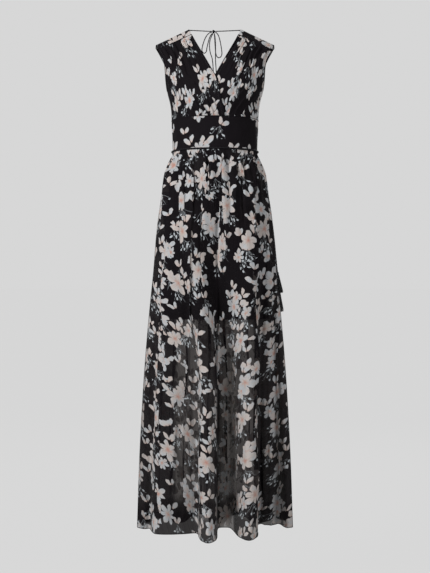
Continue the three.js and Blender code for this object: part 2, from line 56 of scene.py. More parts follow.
# Height, half-width, depth to the front and depth to the back
FORM = [
    (30, 150, 4, 6), (2, 156, 18, 22), (-20, 168, 27, 36), (-42, 175, 42, 48),
    (-74, 163, 68, 62), (-100, 156, 86, 72), (-130, 143.5, 101, 79), (-160, 134, 110, 83),
    (-190, 126.5, 113, 84), (-215, 123, 111, 83), (-240, 122, 107, 82), (-285, 120, 102, 77),
    (-327, 119, 99, 75),
]
SKIRT = [
    (-327, 119, 99, 75), (-340, 120, 103, 81), (-357, 128, 109, 90), (-390, 141, 116, 102),
    (-455, 151, 122, 116), (-550, 164, 126, 124), (-660, 173, 128, 128), (-780, 185, 130, 130),
    (-920, 197, 132, 132), (-1060, 206, 134, 134), (-1200, 213, 136, 136), (-1384, 219, 138, 138),
]
LINING = [
    (-327, 117.5, 97.5, 73.5), (-340, 113, 94, 71), (-400, 126, 98, 86), (-500, 136, 96, 92),
    (-640, 146, 90, 92), (-796, 152, 80, 84),
]
SIDE, FRONT, BACK = 1, 2, 3
# Sign of Y, sign of X from the first column to the last, and the tables' column
FACING = {"front": (-1, 1, FRONT), "back": (1, -1, BACK)}
SQUARENESS = 2.2
POWER = 2 / SQUARENESS
STEADY_HALF_WIDTH = 100.0
SPREAD_SHARE = 0.62
FOLD_GROWTH = 1.5

# Folds at the hem: place across, width, depth from the middle plane, crown
FRONT_FOLDS = [
    (-196, 22, 20, 5), (-122, 84, 88, 8), (-58, 16, 72, -3), (-18, 38, 187, 30), (26, 28, 2, -4),
    (90, 46, 158, 38), (132, 20, -44, -14), (158, 10, -22, 5), (180, 12, -44, -7), (205, 10, 8, 3),
]
BACK_FOLDS = [
    (214, 6, 44, 0), (182, 28, 106, 10), (122, 26, 48, -10), (66, 42, 166, 28), (6, 34, 44, -8),
    (-46, 44, 172, 30), (-104, 28, 56, -8), (-152, 36, 124, 14), (-190, 14, 62, 2),
]
SKIRT_GATHERS = 18
COLUMNS_PER_GATHER = 4
SKIRT_GATHER_HEIGHT = 2.0
# Levels where the gathers have risen in full, where they are half as high, and where they end
GATHER_LEVELS = (-345, -455, -640)
SKIRT_COLUMNS, SKIRT_ROWS = 400, 200
# How much narrower the gathers make the print at the waist, and how the upper skirt's print is eased
GATHERED_PRINT = 1.15
GATHERED_PRINT_END = -560
UPPER_PRINT = 0.86
UPPER_PRINT_LEVELS = (-620, -900)
# How much of the depth of a deep fold the print follows
PRINT_DEPTH = 0.5
# Cloth that a crease hides for each millimetre that it leans, and how widely the same cloth spreads above it
TUCK = 0.9
BODICE_TUCK = 1.6
PLEAT_RELIEF = 1.3
UNFOLDED_SPREAD = 60.0
# How fast a crease begins at its top, how it dies out round its bottom, and where it fades by the side seam
CREASE_START = 25
CREASE_END = (-10, 110)
CREASE_SIDE = 0.84

FRONT_NECKLINE = [
    (2, 66), (-24, 53), (-46, 41.5), (-74, 27.5), (-94, 17.5), (-112, 8.5), (-133, -2), (-169, -11),
    (-205, -19), (-240, -26),
]
BACK_NECKLINE = [(14, 74), (-30, 59), (-80, 39), (-130, 18.5), (BACK_V_Z, 0), (-240, 0)]
ARMHOLE = [
    (-30, 168), (-42, 160), (-60, 150), (-74, 143.5), (-100, 139), (-130, 137.5), (-160, 134),
    (-190, 126.5), (-215, 123), (-240, 122),
]

# Creases of the skirt besides its folds: place across and height at the top and at the bottom, half-width,
# height, and how far the crease leans over sideways. A negative height is a groove.
FRONT_CREASES = [
    (0, -340, 3, -1100, 8, -8, 12), (-24, -385, -24, -1384, 8, 9, -20), (69, -345, 69, -610, 6, -7, 13),
    (90, -400, 94, -1384, 9, 11, 26), (48, -880, 58, -1384, 9, -8, -18),
    (-115, -370, -139, -1384, 9, 9, -20), (-172, -520, -200, -1300, 6, 6, -12),
    (-71, -340, -71, -900, 6, 6, 13), (-98, -900, -104, -1384, 9, -7, 18), (30, -340, 32, -640, 5, 6, -12),
    (88, -480, 92, -900, 8, -5, 8), (136, -430, 150, -1000, 8, 7, 14), (158, -560, 182, -1384, 8, 7, 15),
    (-102, -340, -106, -700, 6, -7, 12), (-150, -640, -176, -1200, 6, -6, 8),
    (-22, -338, -22, -600, 5, -6, 10), (-120, -1000, -128, -1384, 8, 5, 8),
    (14, -1000, 18, -1384, 8, 5, 12), (-88, -336, -90, -560, 4, 5, 9), (-56, -336, -57, -520, 4, -6, -8),
    (-10, -336, -12, -470, 4, 5, -9), (16, -336, 15, -540, 4, -6, 8), (52, -336, 53, -560, 4, 6, 10),
    (84, -336, 86, -480, 4, -6, -8), (98, -336, 103, -620, 5, 6, 11), (-34, -336, -34, -450, 3.5, -5, 6),
    (40, -336, 41, -450, 3.5, -5, -6), (-79, -336, -80, -450, 3.5, -5, 6), (62, -336, 62, -430, 3.5, 5, 7),
    (-112, -336, -118, -600, 5, 6, -11),
]
BACK_CREASES = [
    (8, -340, 6, -1300, 10, -8, 14), (-30, -380, -34, -1384, 9, 9, 20), (44, -350, 40, -1384, 9, 9, -20),
    (-92, -345, -104, -1300, 9, -8, 14), (96, -345, 112, -1300, 9, -8, -14),
    (-130, -430, -150, -1384, 9, 9, 20), (128, -440, 152, -1384, 9, 9, -20),
    (-158, -520, -186, -1200, 7, -6, 8), (160, -520, 190, -1200, 7, -6, -8), (66, -640, 70, -1384, 8, 5, 8),
    (-62, -340, -62, -700, 5, -6, 11), (-10, -340, -12, -560, 5, 6, 10), (24, -336, 23, -520, 4, -6, -8),
    (-46, -336, -47, -480, 4, 6, 8), (62, -336, 63, -560, 4, -6, 8), (80, -336, 84, -480, 4, 6, -9),
    (-78, -336, -80, -520, 4, -6, 8), (-106, -336, -112, -540, 5, 6, -10), (104, -336, 110, -460, 4, 6, 8),
    (-20, -336, -20, -420, 3.5, -5, 6), (36, -336, 36, -430, 3.5, 5, 7),
]
# Where hidden pleats double the cloth, and where denser cloth is painted shade along fold edges: left and right
# edges at the lining's hem and at the skirt's hem, share
FRONT_DOUBLED_AND_SHADED = [
    (-230, -100, -230, -112, 0.55), (-44, 12, -42, 22, 0.38), (117, 230, 119, 230, 0.6),
    (34, 46, 40, 56, 0.35), (-74, -66, -66, -58, 0.5), (0, 11, 0, 13, 0.8), (56, 116, 58, 118, 0.16),
]
BACK_DOUBLED_AND_SHADED = [(-230, -118, -230, -124, 0.6), (-38, 34, -36, 30, 0.55), (112, 230, 116, 230, 0.7)]
# Painted shade: where the print is darkened toward the ground, for the shade in folds and for a fold of the
# sheer cloth lying over the print
FRONT_PAINTED_SHADE = [
    (118, 142, 122, 150, 0.15), (34, 45, 41, 55, 0.25), (-66, -56, -62, -52, 0.25),
    (-206, -190, -212, -196, 0.3), (2, 9, 2, 10, 0.6),
]
BACK_PAINTED_SHADE = [(-124, -100, -130, -104, 0.5), (100, 124, 106, 130, 0.5), (-4, 14, -6, 12, 0.45)]
# How densely the turned cloth near the hem is doubled
TURNED_HEM = 0.85
TURNED_HEM_LEVELS = (-1296, -1335)


def mix(a, b, t):
    return a + (b - a) * t


def smooth(start, end, value):
    t = np.clip((value - start) / (end - start), 0, 1)
    return t * t * (3 - 2 * t)


def between(share, low, high):
    """0 at both ends of a share, and 1 from low to high."""
    return smooth(0, low, share) * smooth(1, high, share)


def together(*parts):
    """Arrays of any shapes that fit each other, as the columns of one array of points."""
    return np.stack(np.broadcast_arrays(*parts), axis=-1)


def unit(vector):
    return vector / np.linalg.norm(vector, axis=-1, keepdims=True)


def summed(steps, axis):
    """Running totals of steps along an axis, from 0."""
    totals = np.cumsum(steps, axis=axis)
    return np.concatenate([np.zeros_like(totals.take([0], axis)), totals], axis=axis)


def lengths_along(points, axis=1):
    return summed(np.linalg.norm(np.diff(points, axis=axis), axis=-1), axis)


def table_at(table, column, z):
    """A column of a table at a height, on a smooth curve through its rows, which run downwards."""
    rows = np.array(table, float)[::-1]
    heights, values = rows[:, 0], rows[:, column]
    slopes = np.empty_like(values)
    slopes[1:-1] = (values[2:] - values[:-2]) / (heights[2:] - heights[:-2])
    slopes[0] = (values[1] - values[0]) / (heights[1] - heights[0])
    slopes[-1] = (values[-1] - values[-2]) / (heights[-1] - heights[-2])
    z = np.clip(np.asarray(z, float), heights[0], heights[-1])
    k = np.clip(np.searchsorted(heights, z, side="right") - 1, 0, len(heights) - 2)
    span = heights[k + 1] - heights[k]
    t = (z - heights[k]) / span
    return (
        values[k] * (1 - t) ** 2 * (1 + 2 * t)
        + values[k + 1] * t**2 * (3 - 2 * t)
        + span * (slopes[k] * t * (1 - t) ** 2 - slopes[k + 1] * t**2 * (1 - t))
    )


def rounded_depth(across):
    """Depth of a section, as a share of its depth in the middle, at a share of its half-width."""
    return (1 - np.minimum(1, np.abs(across)) ** SQUARENESS) ** (1 / SQUARENESS)


def form_depth(x, z, column):
    return table_at(FORM, column, z) * rounded_depth(x / table_at(FORM, SIDE, z))


def squared(sine):
    """A sine or cosine made as square as the form's sections."""
    return np.sign(sine) * np.abs(sine) ** POWER


def spline(points, count):
    """Points at even lengths along a centripetal Catmull-Rom curve."""
    points = np.array(points, float)
    points = np.vstack([2 * points[0] - points[1], points, 2 * points[-1] - points[-2]])
    dense = []
    for k in range(1, len(points) - 2):
        rows = list(points[k - 1 : k + 3])
        knots = summed(np.linalg.norm(np.diff(rows, axis=0), axis=1) ** 0.5, 0)
        t = np.linspace(knots[1], knots[2], 40, endpoint=False)[:, None]
        for reach in (1, 2):
            shares = [(t - knots[i]) / (knots[i + reach] - knots[i]) for i in range(4 - reach)]
            rows = [mix(rows[i], rows[i + 1], share) for i, share in enumerate(shares)]
        dense.append(mix(*rows, (t - knots[1]) / (knots[2] - knots[1])))
    dense = np.vstack(dense + [points[-2][None]])
    along = lengths_along(dense, 0)
    wanted = np.linspace(0, along[-1], count)
    return np.stack([np.interp(wanted, along, values) for values in dense.T], axis=1)


def narrowed(x, z):
    """A place across the hem, brought in where the skirt is narrower."""
    outer = np.abs(x) - STEADY_HALF_WIDTH
    hem_side, side = (table_at(SKIRT, SIDE, level) - STEADY_HALF_WIDTH for level in (HEM_Z, z))
    return np.where(outer <= 0, x, np.sign(x) * (STEADY_HALF_WIDTH + outer * side / hem_side))


def gather_height(z):
    """Height of the gathers under the waist at a level."""
    risen, halved, ended = GATHER_LEVELS
    upper = smooth(WAIST_Z, risen, z) * mix(1.0, 0.5, smooth(risen, halved, z))
    return SKIRT_GATHER_HEIGHT * upper * (1 - smooth(halved, ended, z))


def hem_line(facing, folds, count):
    y, run, _ = FACING[facing]
    side = float(table_at(SKIRT, SIDE, HEM_Z))
    points = [(-run * side, y * SEAM_GAP / 2)]
    for at, width, depth, crown in folds:
        for edge, height in ((-0.5, depth - crown), (0, depth), (0.5, depth - crown)):
            points.append((at + run * edge * width, y * height))
    points.append((run * side, y * SEAM_GAP / 2))
    return spline(points, count)


def skirt_points(facing, folds, creases):
    """The skirt's outside and its print's lengths: rows downwards, columns anticlockwise seen from above."""
    y, run, column = FACING[facing]
    hem = hem_line(facing, folds, SKIRT_COLUMNS + 1)[None]
    u = np.linspace(0, 1, SKIRT_COLUMNS + 1)
    j = u * SKIRT_GATHERS * COLUMNS_PER_GATHER
    z = mix(WAIST_Z - SEAM_GAP / 2, HEM_Z, np.linspace(0, 1, SKIRT_ROWS + 1) ** 1.25)[:, None]
    down = (WAIST_Z - z) / (WAIST_Z - HEM_Z)
    side, depth = table_at(SKIRT, SIDE, z), table_at(SKIRT, column, z)
    sine, cosine = np.sin(math.pi * (u - 0.5)), np.cos(math.pi * (u - 0.5))
    x = mix(run * side * squared(sine), narrowed(hem[..., 0], z), smooth(0, SPREAD_SHARE, down))
    grown = np.clip(down, 0, 1) ** FOLD_GROWTH
    deep = mix(y * depth * rounded_depth(x / side), hem[..., 1], grown)
    points = together(x, deep, z)
    lengths = print_lengths(points) * mix(GATHERED_PRINT, 1.0, smooth(WAIST_Z, GATHERED_PRINT_END, z))
    seam = between(u, 0.02, 0.98)
    uneven = 1 + 0.35 * np.sin(j * 1.7 + 0.6) + 0.2 * np.sin(j * 0.61)
    wave = np.cos(2 * math.pi * j / COLUMNS_PER_GATHER + math.pi / 4 + 0.5 * np.sin(j * 0.37))
    fine = 0.28 * np.sin(j * 4.1 + 0.8 * np.sin(j * 0.9)) + 0.16 * np.sin(j * 7.3 + 1.1)
    ripple = 0.5 * np.sin(j * 1.9 + z * 0.012) * np.sin(z * 0.017 + j * 0.5) * smooth(WAIST_Z, -420, z)
    lift = (gather_height(z) * (uneven * wave + fine) + ripple) * seam
    points = points + together(run * sine, y * cosine, 0.0) * lift[..., None]
    lines = []
    for x_top, z_top, x_bottom, z_bottom, width, height, lean in creases:
        place = x_top + (x_bottom - x_top) * (z_top - z) / (z_top - z_bottom)
        nearest = u[np.argmin(np.abs(x - place), axis=1)]
        padded = np.concatenate([np.full(12, nearest[0]), nearest, np.full(12, nearest[-1])])
        steady = np.convolve(padded, np.ones(25) / 25, mode="valid")[:, None]
        wander = 3 * np.sin(z * 0.013 + x_top * 0.7)
        low, high = (z_bottom + reach for reach in CREASE_END)
        reach = smooth(z_top, z_top - CREASE_START, z) * smooth(low, high, z)
        reach = reach * (0.78 + 0.22 * np.sin(z * 0.021 + x_top))
        reach = reach * smooth(1.0, CREASE_SIDE, np.abs(place) / side)
        lines.append((steady, wander, reach, width, height, lean * run))
    points, moved_print = creased(points, lines, seam)
    return points, (lengths + moved_print) * mix(UPPER_PRINT, 1.0, smooth(*UPPER_PRINT_LEVELS, z))


def print_lengths(points):
    """Lengths of print along the rows: all of a flank that faces sideways, and less of the depth elsewhere."""
    steps = np.diff(points, axis=1)
    across, deep = np.abs(steps[..., 0]), np.abs(steps[..., 1])
    steps[..., 1] *= mix(PRINT_DEPTH, 1.0, smooth(0.45, 0.8, deep / (across + deep)))
    return summed(np.linalg.norm(steps, axis=-1), 1)


def creased(points, lines, held, tuck=TUCK):
    """The cloth with creases laid in it, and how much further they bring the print at each point.

    Each crease lifts the cloth, draws it over sideways along its own surface and hides a tuck of it.
    """
    outward = unit(np.cross(np.gradient(points, axis=0), np.gradient(points, axis=1)))
    lengths = lengths_along(points)
    share = np.linspace(0, 1, points.shape[1])
    lift, slide, hidden = (np.zeros_like(lengths) for _ in range(3))
    for centre, wander, reach, width, height, lean in lines:
        middle = [np.interp(value, share, row) for value, row in zip(centre[:, 0], lengths)]
        distance = lengths - np.array(middle)[:, None] - wander
        bump = reach * np.exp(-((distance / width) ** 2))
        lift += height * bump
        slide += lean * bump
        past_crest = distance - 0.7 * width * np.sign(lean)
        spread = mix(UNFOLDED_SPREAD, 0.45 * width, np.clip(1.4 * reach, 0, 1))
        hidden += tuck * abs(lean) * 0.5 * (1 + np.tanh(past_crest / spread))
    surface = np.concatenate([points, outward], axis=-1)
    for row, (old, new) in enumerate(zip(lengths, lengths + slide * held)):
        surface[row] = np.stack([np.interp(new, old, values) for values in surface[row].T], axis=-1)
    return surface[..., :3] + surface[..., 3:] * (lift * held)[..., None], hidden + slide * held


def zoned(points, zones):
    """How strongly the zones of a table act at each point, from 0 to 1."""
    x, z = points[..., 0], points[..., 2]
    down = np.clip((LINING_HEM_Z - z) / (LINING_HEM_Z - HEM_Z), -0.4, 1)
    share = np.zeros_like(x)
    for left_top, right_top, left_hem, right_hem, most in zones:
        wander = 2.5 * np.sin(z * 0.017 + left_top)
        left, right = mix(left_top, left_hem, down) + wander, mix(right_top, right_hem, down) + wander
        share = np.maximum(share, most * smooth(left - 2, left + 2, x) * smooth(right + 2, right - 2, x))
    return share


def flat_coordinates(points, lengths, shift):
    """Cloth coordinates in metres: length of cloth from the centre column, and down the centre column."""
    centre = points.shape[1] // 2
    down = lengths_along(points[:, centre], 0)[:, None]
    return together(lengths - lengths[:, [centre]], -down) * MM + np.array(shift)


def added(name, data):
    """A new object in the scene."""
    made = bpy.data.objects.new(name, data)
    bpy.context.scene.collection.objects.link(made)
    return made


def piece_of(name, verts, faces, uvs, material):
    """A smooth piece from vertices in millimetres, faces, and UVs in metres for the corners of the faces."""
    mesh = bpy.data.meshes.new(name)
    mesh.from_pydata((verts * MM).tolist(), [], faces)
    mesh.uv_layers.new(name="cloth").data.foreach_set("uv", uvs.reshape(-1).tolist())
    mesh.polygons.foreach_set("use_smooth", [True] * len(mesh.polygons))
    mesh.update()
    mesh.materials.append(material)
    piece = added(name, mesh)
    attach(piece, ROOT)
    return piece


def cloth(name, points, flat, material, thickness=None):
    """A shell through a grid of points, with its cut's own coordinates as UVs; thick cloth grows inwards."""
    rows, columns = points.shape[:2]
    index = np.arange(rows * columns).reshape(rows, columns)
    faces = np.stack([index[:-1, :-1], index[1:, :-1], index[1:, 1:], index[:-1, 1:]], axis=-1).reshape(-1, 4)
    uvs = flat.reshape(-1, 2)[faces.reshape(-1)]
    piece = piece_of(name, points.reshape(-1, 3), faces.tolist(), uvs, material)
    if thickness:
        solidify = piece.modifiers.new("thickness", "SOLIDIFY")
        solidify.thickness = thickness * MM
        solidify.offset = -1.0
    return piece


def store(piece, name, numbers):
    """Keeps a number for each vertex, for the material to read."""
    attribute = piece.data.attributes.new(name, "FLOAT", "POINT")
    attribute.data.foreach_set("value", np.asarray(numbers, float).reshape(-1).tolist())


class Wire:
    """An output of a shader node. Arithmetic adds Math nodes, and a key gives another output of the node."""

    def __init__(self, tree, outputs, key=0):
        self.tree, self.outputs, self.socket = tree, outputs, outputs[key]

    def __getitem__(self, key):
        return Wire(self.tree, self.outputs, key)

    def math(self, operation, *others, clamp=False):
        inputs = dict(enumerate((self, *others)))
        return node(self.tree, "ShaderNodeMath", inputs, operation=operation, use_clamp=clamp)

    __add__ = partialmethod(math, "ADD")
    __sub__ = partialmethod(math, "SUBTRACT")
    __mul__ = partialmethod(math, "MULTIPLY")
    __truediv__ = partialmethod(math, "DIVIDE")
    __mod__ = partialmethod(math, "MODULO")
    __gt__ = partialmethod(math, "GREATER_THAN")

    def __rsub__(self, other):
        return self.math("MULTIPLY_ADD", -1.0, other)

    def step(self, low, high):
        """0 below low and 1 above high, or the other way round where low is above high."""
        inputs = {"Value": self, "From Min": low, "From Max": high}
        return node(self.tree, "ShaderNodeMapRange", inputs, interpolation_type="SMOOTHSTEP")["Result"]


def put(tree, target, value):
    """Links a wire to an input, or writes a plain value into it."""
    if isinstance(value, Wire):
        tree.links.new(value.socket, target)
    else:
        target.default_value = (*value, 1) if target.type == "RGBA" else value


def node(tree, kind, inputs=(), **settings):
    """Adds a shader node; inputs are wires or plain values by name or number."""
    made = tree.nodes.new(kind)
    for key, value in settings.items():
        setattr(made, key, value)
    for key, value in dict(inputs).items():
        put(tree, made.inputs[key], value)
    return Wire(tree, made.outputs)


def blend(factor, a, b):
    return node(factor.tree, "ShaderNodeMix", {0: factor, 6: a, 7: b}, data_type="RGBA")[2]


def vectors(operation, a, b):
    return node(a.tree, "ShaderNodeVectorMath", {0: a, 1: b}, operation=operation)


def split(vector):
    return node(vector.tree, "ShaderNodeSeparateXYZ", {"Vector": vector})


def polar(vector):
    """Length and angle of a flat vector."""
    axes = split(vector)
    length = node(vector.tree, "ShaderNodeVectorMath", {0: vector}, operation="LENGTH")["Value"]
    return length, axes[1].math("ARCTAN2", axes[0])


def moved(vector, place=(0, 0), angle=0.0, scale=(1, 1, 1)):
    """The vector as seen from a place, turned by an angle."""
    inputs = {"Vector": vector, "Location": (*place, 0), "Rotation": (0, 0, angle), "Scale": scale}
    return node(vector.tree, "ShaderNodeMapping", inputs, vector_type="TEXTURE")


def noise(vector, scale, detail, dimensions="2D"):
    inputs = {"Vector": vector, "Scale": scale, "Detail": detail}
    return node(vector.tree, "ShaderNodeTexNoise", inputs, noise_dimensions=dimensions)["Fac"]


def own_number(value):
    """An even random number that belongs to a value."""
    return node(value.tree, "ShaderNodeTexWhiteNoise", {"W": value}, noise_dimensions="1D")["Value"]


def squares(a, b):
    return a * a + b * b


def group(name, inputs, outputs):
    """A new node group. Its vectors and colours go by those names, and its other sockets are numbers."""
    tree = bpy.data.node_groups.new(name, "ShaderNodeTree")
    for in_out, titles in (("INPUT", inputs), ("OUTPUT", outputs)):
        for title in titles:
            kind = title if title in ("Vector", "Color") else "Float"
            tree.interface.new_socket(title, in_out=in_out, socket_type="NodeSocket" + kind)
    return tree, Wire(tree, tree.nodes.new("NodeGroupInput").outputs)


def give(tree, **results):
    """Ends a group with its outputs."""
    ends = tree.nodes.new("NodeGroupOutput").inputs
    for title, wire in results.items():
        put(tree, ends[title], wire)
    return tree


def use(group_tree, **inputs):
    return node(inputs["Vector"].tree, "ShaderNodeGroup", inputs, node_tree=group_tree)


def petal_group():
    """A single drop-shaped petal along +X from its foot at the origin, in units of its length."""
    tree, given = group("petal", ("Vector", "Width"), ("Mask", "Along"))
    axes = split(given["Vector"])
    along = axes[0] - 0.5
    bulge = along * 0.40 + 1.0 - along.step(0.2, 0.55) * 0.45
    across = axes[1] / (given["Width"] * bulge)
    return give(tree, Mask=squares(across, along * 2.0).step(1.08, 0.9), Along=axes[0])


def flower_group():
    """An open flower seen from above, of radius 1: broad petals, each of its own length."""
    tree, given = group("flower", ("Vector", "Petals", "Seed"), ("Mask", "Radius", "Edge"))
    radius, angle = polar(given["Vector"])
    petals = given["Petals"]
    turns = angle / (2 * math.pi) * petals
    whole = turns.math("ROUND")
    away = (turns - whole).math("ABSOLUTE")
    length = own_number((whole + petals) % petals + given["Seed"] * 71.0) * 0.42 + 0.70
    outline = (away * 2.0).math("POWER", 2.8) * -0.36 + (away * -0.44 + 1.09)
    share = radius / (outline * length)
    apart = ((0.5 - away) * radius).step(0.010, 0.030)
    open_centre = radius.step(0.52, 0.36)
    streaks = noise(node(tree, "ShaderNodeCombineXYZ", {0: turns * 9.0, 1: radius}), 1.0, 1.0)
    inside = share.step(1.03, 0.95) * apart.math("MAXIMUM", open_centre)
    return give(tree, Mask=inside, Radius=share, Edge=streaks)


# Angle between the twigs of a spray, and the spacing, offset, half-length, half-width and slant of its leaves
FAN = 0.58
LEAF_SPACING = 0.0112
LEAF_ASIDE = 0.0040
LEAF_LENGTH = 0.0056
LEAF_WIDTH = 0.0030
LEAF_SLANT = 0.6
STEM_CURVE = 6.0
BARE_LEAVES = 0.22


def spray_group():
    """Three thin twigs fanning along +X, with small leaves on both sides. Units are metres."""
    tree, given = group("spray", ("Vector", "Seed"), ("Mask",))
    radius, angle = polar(given["Vector"])
    twig = (angle / FAN).math("ROUND")
    turned = angle - twig * FAN
    along, across = radius * turned.math("COSINE"), radius * turned.math("SINE")
    places = along / LEAF_SPACING + twig * 0.37 + given["Seed"]
    whole = places.math("FLOOR")
    within = (places - whole - 0.5) * LEAF_SPACING
    side = whole.math("PINGPONG", 1.0) * 2.0 - 1.0
    aside = (across - side * LEAF_ASIDE) * side
    leaf_along, leaf_across = within + aside * LEAF_SLANT, aside - within * LEAF_SLANT
    kept = own_number(whole.math("MULTIPLY_ADD", 3.1, twig) + given["Seed"] * 53.0) > BARE_LEAVES
    leaf = squares(leaf_along / LEAF_LENGTH, leaf_across / LEAF_WIDTH).step(1.1, 0.8) * kept
    leaf = leaf * radius.step(0.010, 0.013) * radius.step(0.037, 0.034)
    stem = (across - along * along * STEM_CURVE).math("ABSOLUTE").step(0.0011, 0.0004)
    stem = stem * radius.step(0.042, 0.030)
    fanned = angle.math("ABSOLUTE").step(0.95, 0.86)
    return give(tree, Mask=leaf.math("MAXIMUM", stem * 0.33) * fanned)


def lattice(vector, spacing, randomness, shift, turn):
    """Scattered cells: the vector from the nearest cell's middle, turned a little, and its own numbers."""
    tree = vector.tree
    seen = moved(vector, shift, turn)
    inputs = {"Vector": seen, "Scale": 1 / spacing, "Randomness": randomness}
    cells = node(tree, "ShaderNodeTexVoronoi", inputs, voronoi_dimensions="2D")
    numbers = node(tree, "ShaderNodeSeparateColor", {"Color": cells["Color"]})
    local, angle = vectors("SUBTRACT", seen, cells["Position"]), numbers[0] * 0.9 + (turn - 0.45)
    inputs = {"Vector": local, "Angle": angle}
    turned = node(tree, "ShaderNodeVectorRotate", inputs, rotation_type="Z_AXIS")
    mirror = node(tree, "ShaderNodeCombineXYZ", {0: (numbers[1] > 0.5) * 2.0 - 1.0, 1: 1.0, 2: 1.0})
    return vectors("MULTIPLY", turned, mirror), numbers


# Motifs of a cluster, in metres and radians from its middle. Cells are spacing, randomness, shift and turn,
# the flower is place and radius, the petals are place, direction, length and width, and the spray is place and
# direction. Bare is the share of clusters without a spray.
CLUSTERS = {
    "large": {
        "cells": (0.116, 0.42, (0.013, 0.021), 0.35), "flower": ((0.0, 0.002), 0.030),
        "petals": [((0.022, 0.022), 0.85, 0.027, 0.25), ((0.018, 0.026), 1.9, 0.025, 0.26),
                   ((-0.023, 0.014), 2.6, 0.027, 0.24)],
        "spray": ((-0.004, -0.020), -1.6), "bare": 0.1,
    },
    "small": {
        "cells": (0.104, 0.55, (0.061, 0.043), -0.5), "flower": ((0.0, 0.0), 0.0205),
        "petals": [((0.027, 0.009), 0.6, 0.023, 0.25), ((0.024, 0.012), 1.75, 0.021, 0.27)],
        "spray": ((0.006, -0.013), -1.2), "bare": 0.35,
    },
    "buds": {
        "cells": (0.074, 0.7, (0.031, 0.087), 0.9), "flower": None,
        "petals": [((0.0015, 0.0), 0.6, 0.022, 0.25), ((-0.0015, 0.001), 1.85, 0.020, 0.27)],
        "spray": ((-0.002, -0.003), -1.7), "bare": 0.55,
    },
}
FEWEST_PETALS, MORE_PETALS = 5.0, 3.0
BLUE_PETAL = (0.575, 0.60, 0.625)
WARM_PETAL = (0.655, 0.585, 0.55)
BLUSH = (0.61, 0.455, 0.395)
CORAL = (0.585, 0.32, 0.27)
TAUPE = (0.30, 0.25, 0.235)
GROUND = (0.0061, 0.0040, 0.0060)
LEAF_PALE = (0.56, 0.60, 0.63)


def inked(color, ink, mask, shade):
    """The print so far with one more motif laid over it."""
    return blend(mask, color, shade), mask.math("MAXIMUM", ink)


def print_group():
    """The flower print: its colour, and how far each place is covered by pale ink."""
    petal, flower, spray = petal_group(), flower_group(), spray_group()
    tree, given = group("print", ("Vector", "Sparse"), ("Color", "Ink"))
    wobble = vectors("SUBTRACT", noise(given["Vector"], 62.0, 1.0)["Color"], (0.5, 0.5, 0.5))
    vector = vectors("ADD", given["Vector"], vectors("MULTIPLY", wobble, (0.0070,) * 3))
    wash = noise(given["Vector"], 48.0, 2.0)
    color, ink = GROUND, 0.0
    for cluster in reversed(CLUSTERS.values()):
        local, numbers = lattice(vector, *cluster["cells"])
        kept = numbers[2] > given["Sparse"]
        leaves = use(spray, Vector=moved(local, *cluster["spray"]), Seed=numbers[2])["Mask"]
        leaves = leaves * (kept * (numbers[1] > cluster["bare"]))
        color, ink = inked(color, ink, leaves, LEAF_PALE)
        hue = blend((numbers[1] * 0.35 + wash * 1.1).step(0.45, 1.0), BLUE_PETAL, WARM_PETAL)
        for place, angle, length, width in cluster["petals"]:
            parts = use(petal, Vector=moved(local, place, angle, (length,) * 3), Width=width)
            shade = blend(parts["Along"].step(0.4, -0.1), hue, BLUSH)
            color, ink = inked(color, ink, parts["Mask"] * kept, shade)
        if cluster["flower"]:
            place, radius = cluster["flower"]
            count = (numbers[2] * MORE_PETALS + FEWEST_PETALS).math("FLOOR")
            parts = use(flower, Vector=moved(local, place, 0.3, (radius,) * 3), Petals=count, Seed=numbers[0])
            ring = parts["Edge"] * 0.35 + (wash * 0.3 + parts["Radius"])
            shade = blend(ring.step(0.82, 0.52), hue, BLUSH)
            shade = blend(ring.step(0.54, 0.42), shade, CORAL)
            streak = parts["Edge"].step(0.56, 0.7) * parts["Radius"].step(1.0, 0.4)
            shade = blend(streak * 0.35, shade, TAUPE)
            color, ink = inked(color, ink, parts["Mask"] * kept, shade)
    return give(tree, Color=color, Ink=ink)


def new_material(name):
    material = bpy.data.materials.new(name)
    material.use_nodes = True
    tree = material.node_tree
    tree.nodes.clear()
    return material, tree, tree.nodes.new("ShaderNodeOutputMaterial").inputs["Surface"]


def weave(vector, pitch, depth, crinkle=0.0):
    """Threads both ways at a pitch, with an optional uneven crinkle, as a bump."""
    axes, turns = split(vector), 2 * math.pi / pitch
    height = ((axes[0] * turns).math("SINE") + (axes[1] * turns).math("SINE")) * 0.25
    if crinkle:
        height += noise(moved(vector, scale=(0.35, 1.6, 1)), 160.0, 2.0, "3D") * crinkle
    return node(vector.tree, "ShaderNodeBump", {"Height": height, "Distance": depth, "Strength": 0.6})


def fabric(color, normal, roughness, sheen, sheen_roughness, specular):
    inputs = {
        "Base Color": color, "Normal": normal, "Roughness": roughness, "Sheen Weight": sheen,
        "Sheen Roughness": sheen_roughness, "Specular IOR Level": specular,
    }
    return node(normal.tree, "ShaderNodeBsdfPrincipled", inputs)


def stored(tree, name):
    return node(tree, "ShaderNodeAttribute", attribute_name=name)["Fac"]


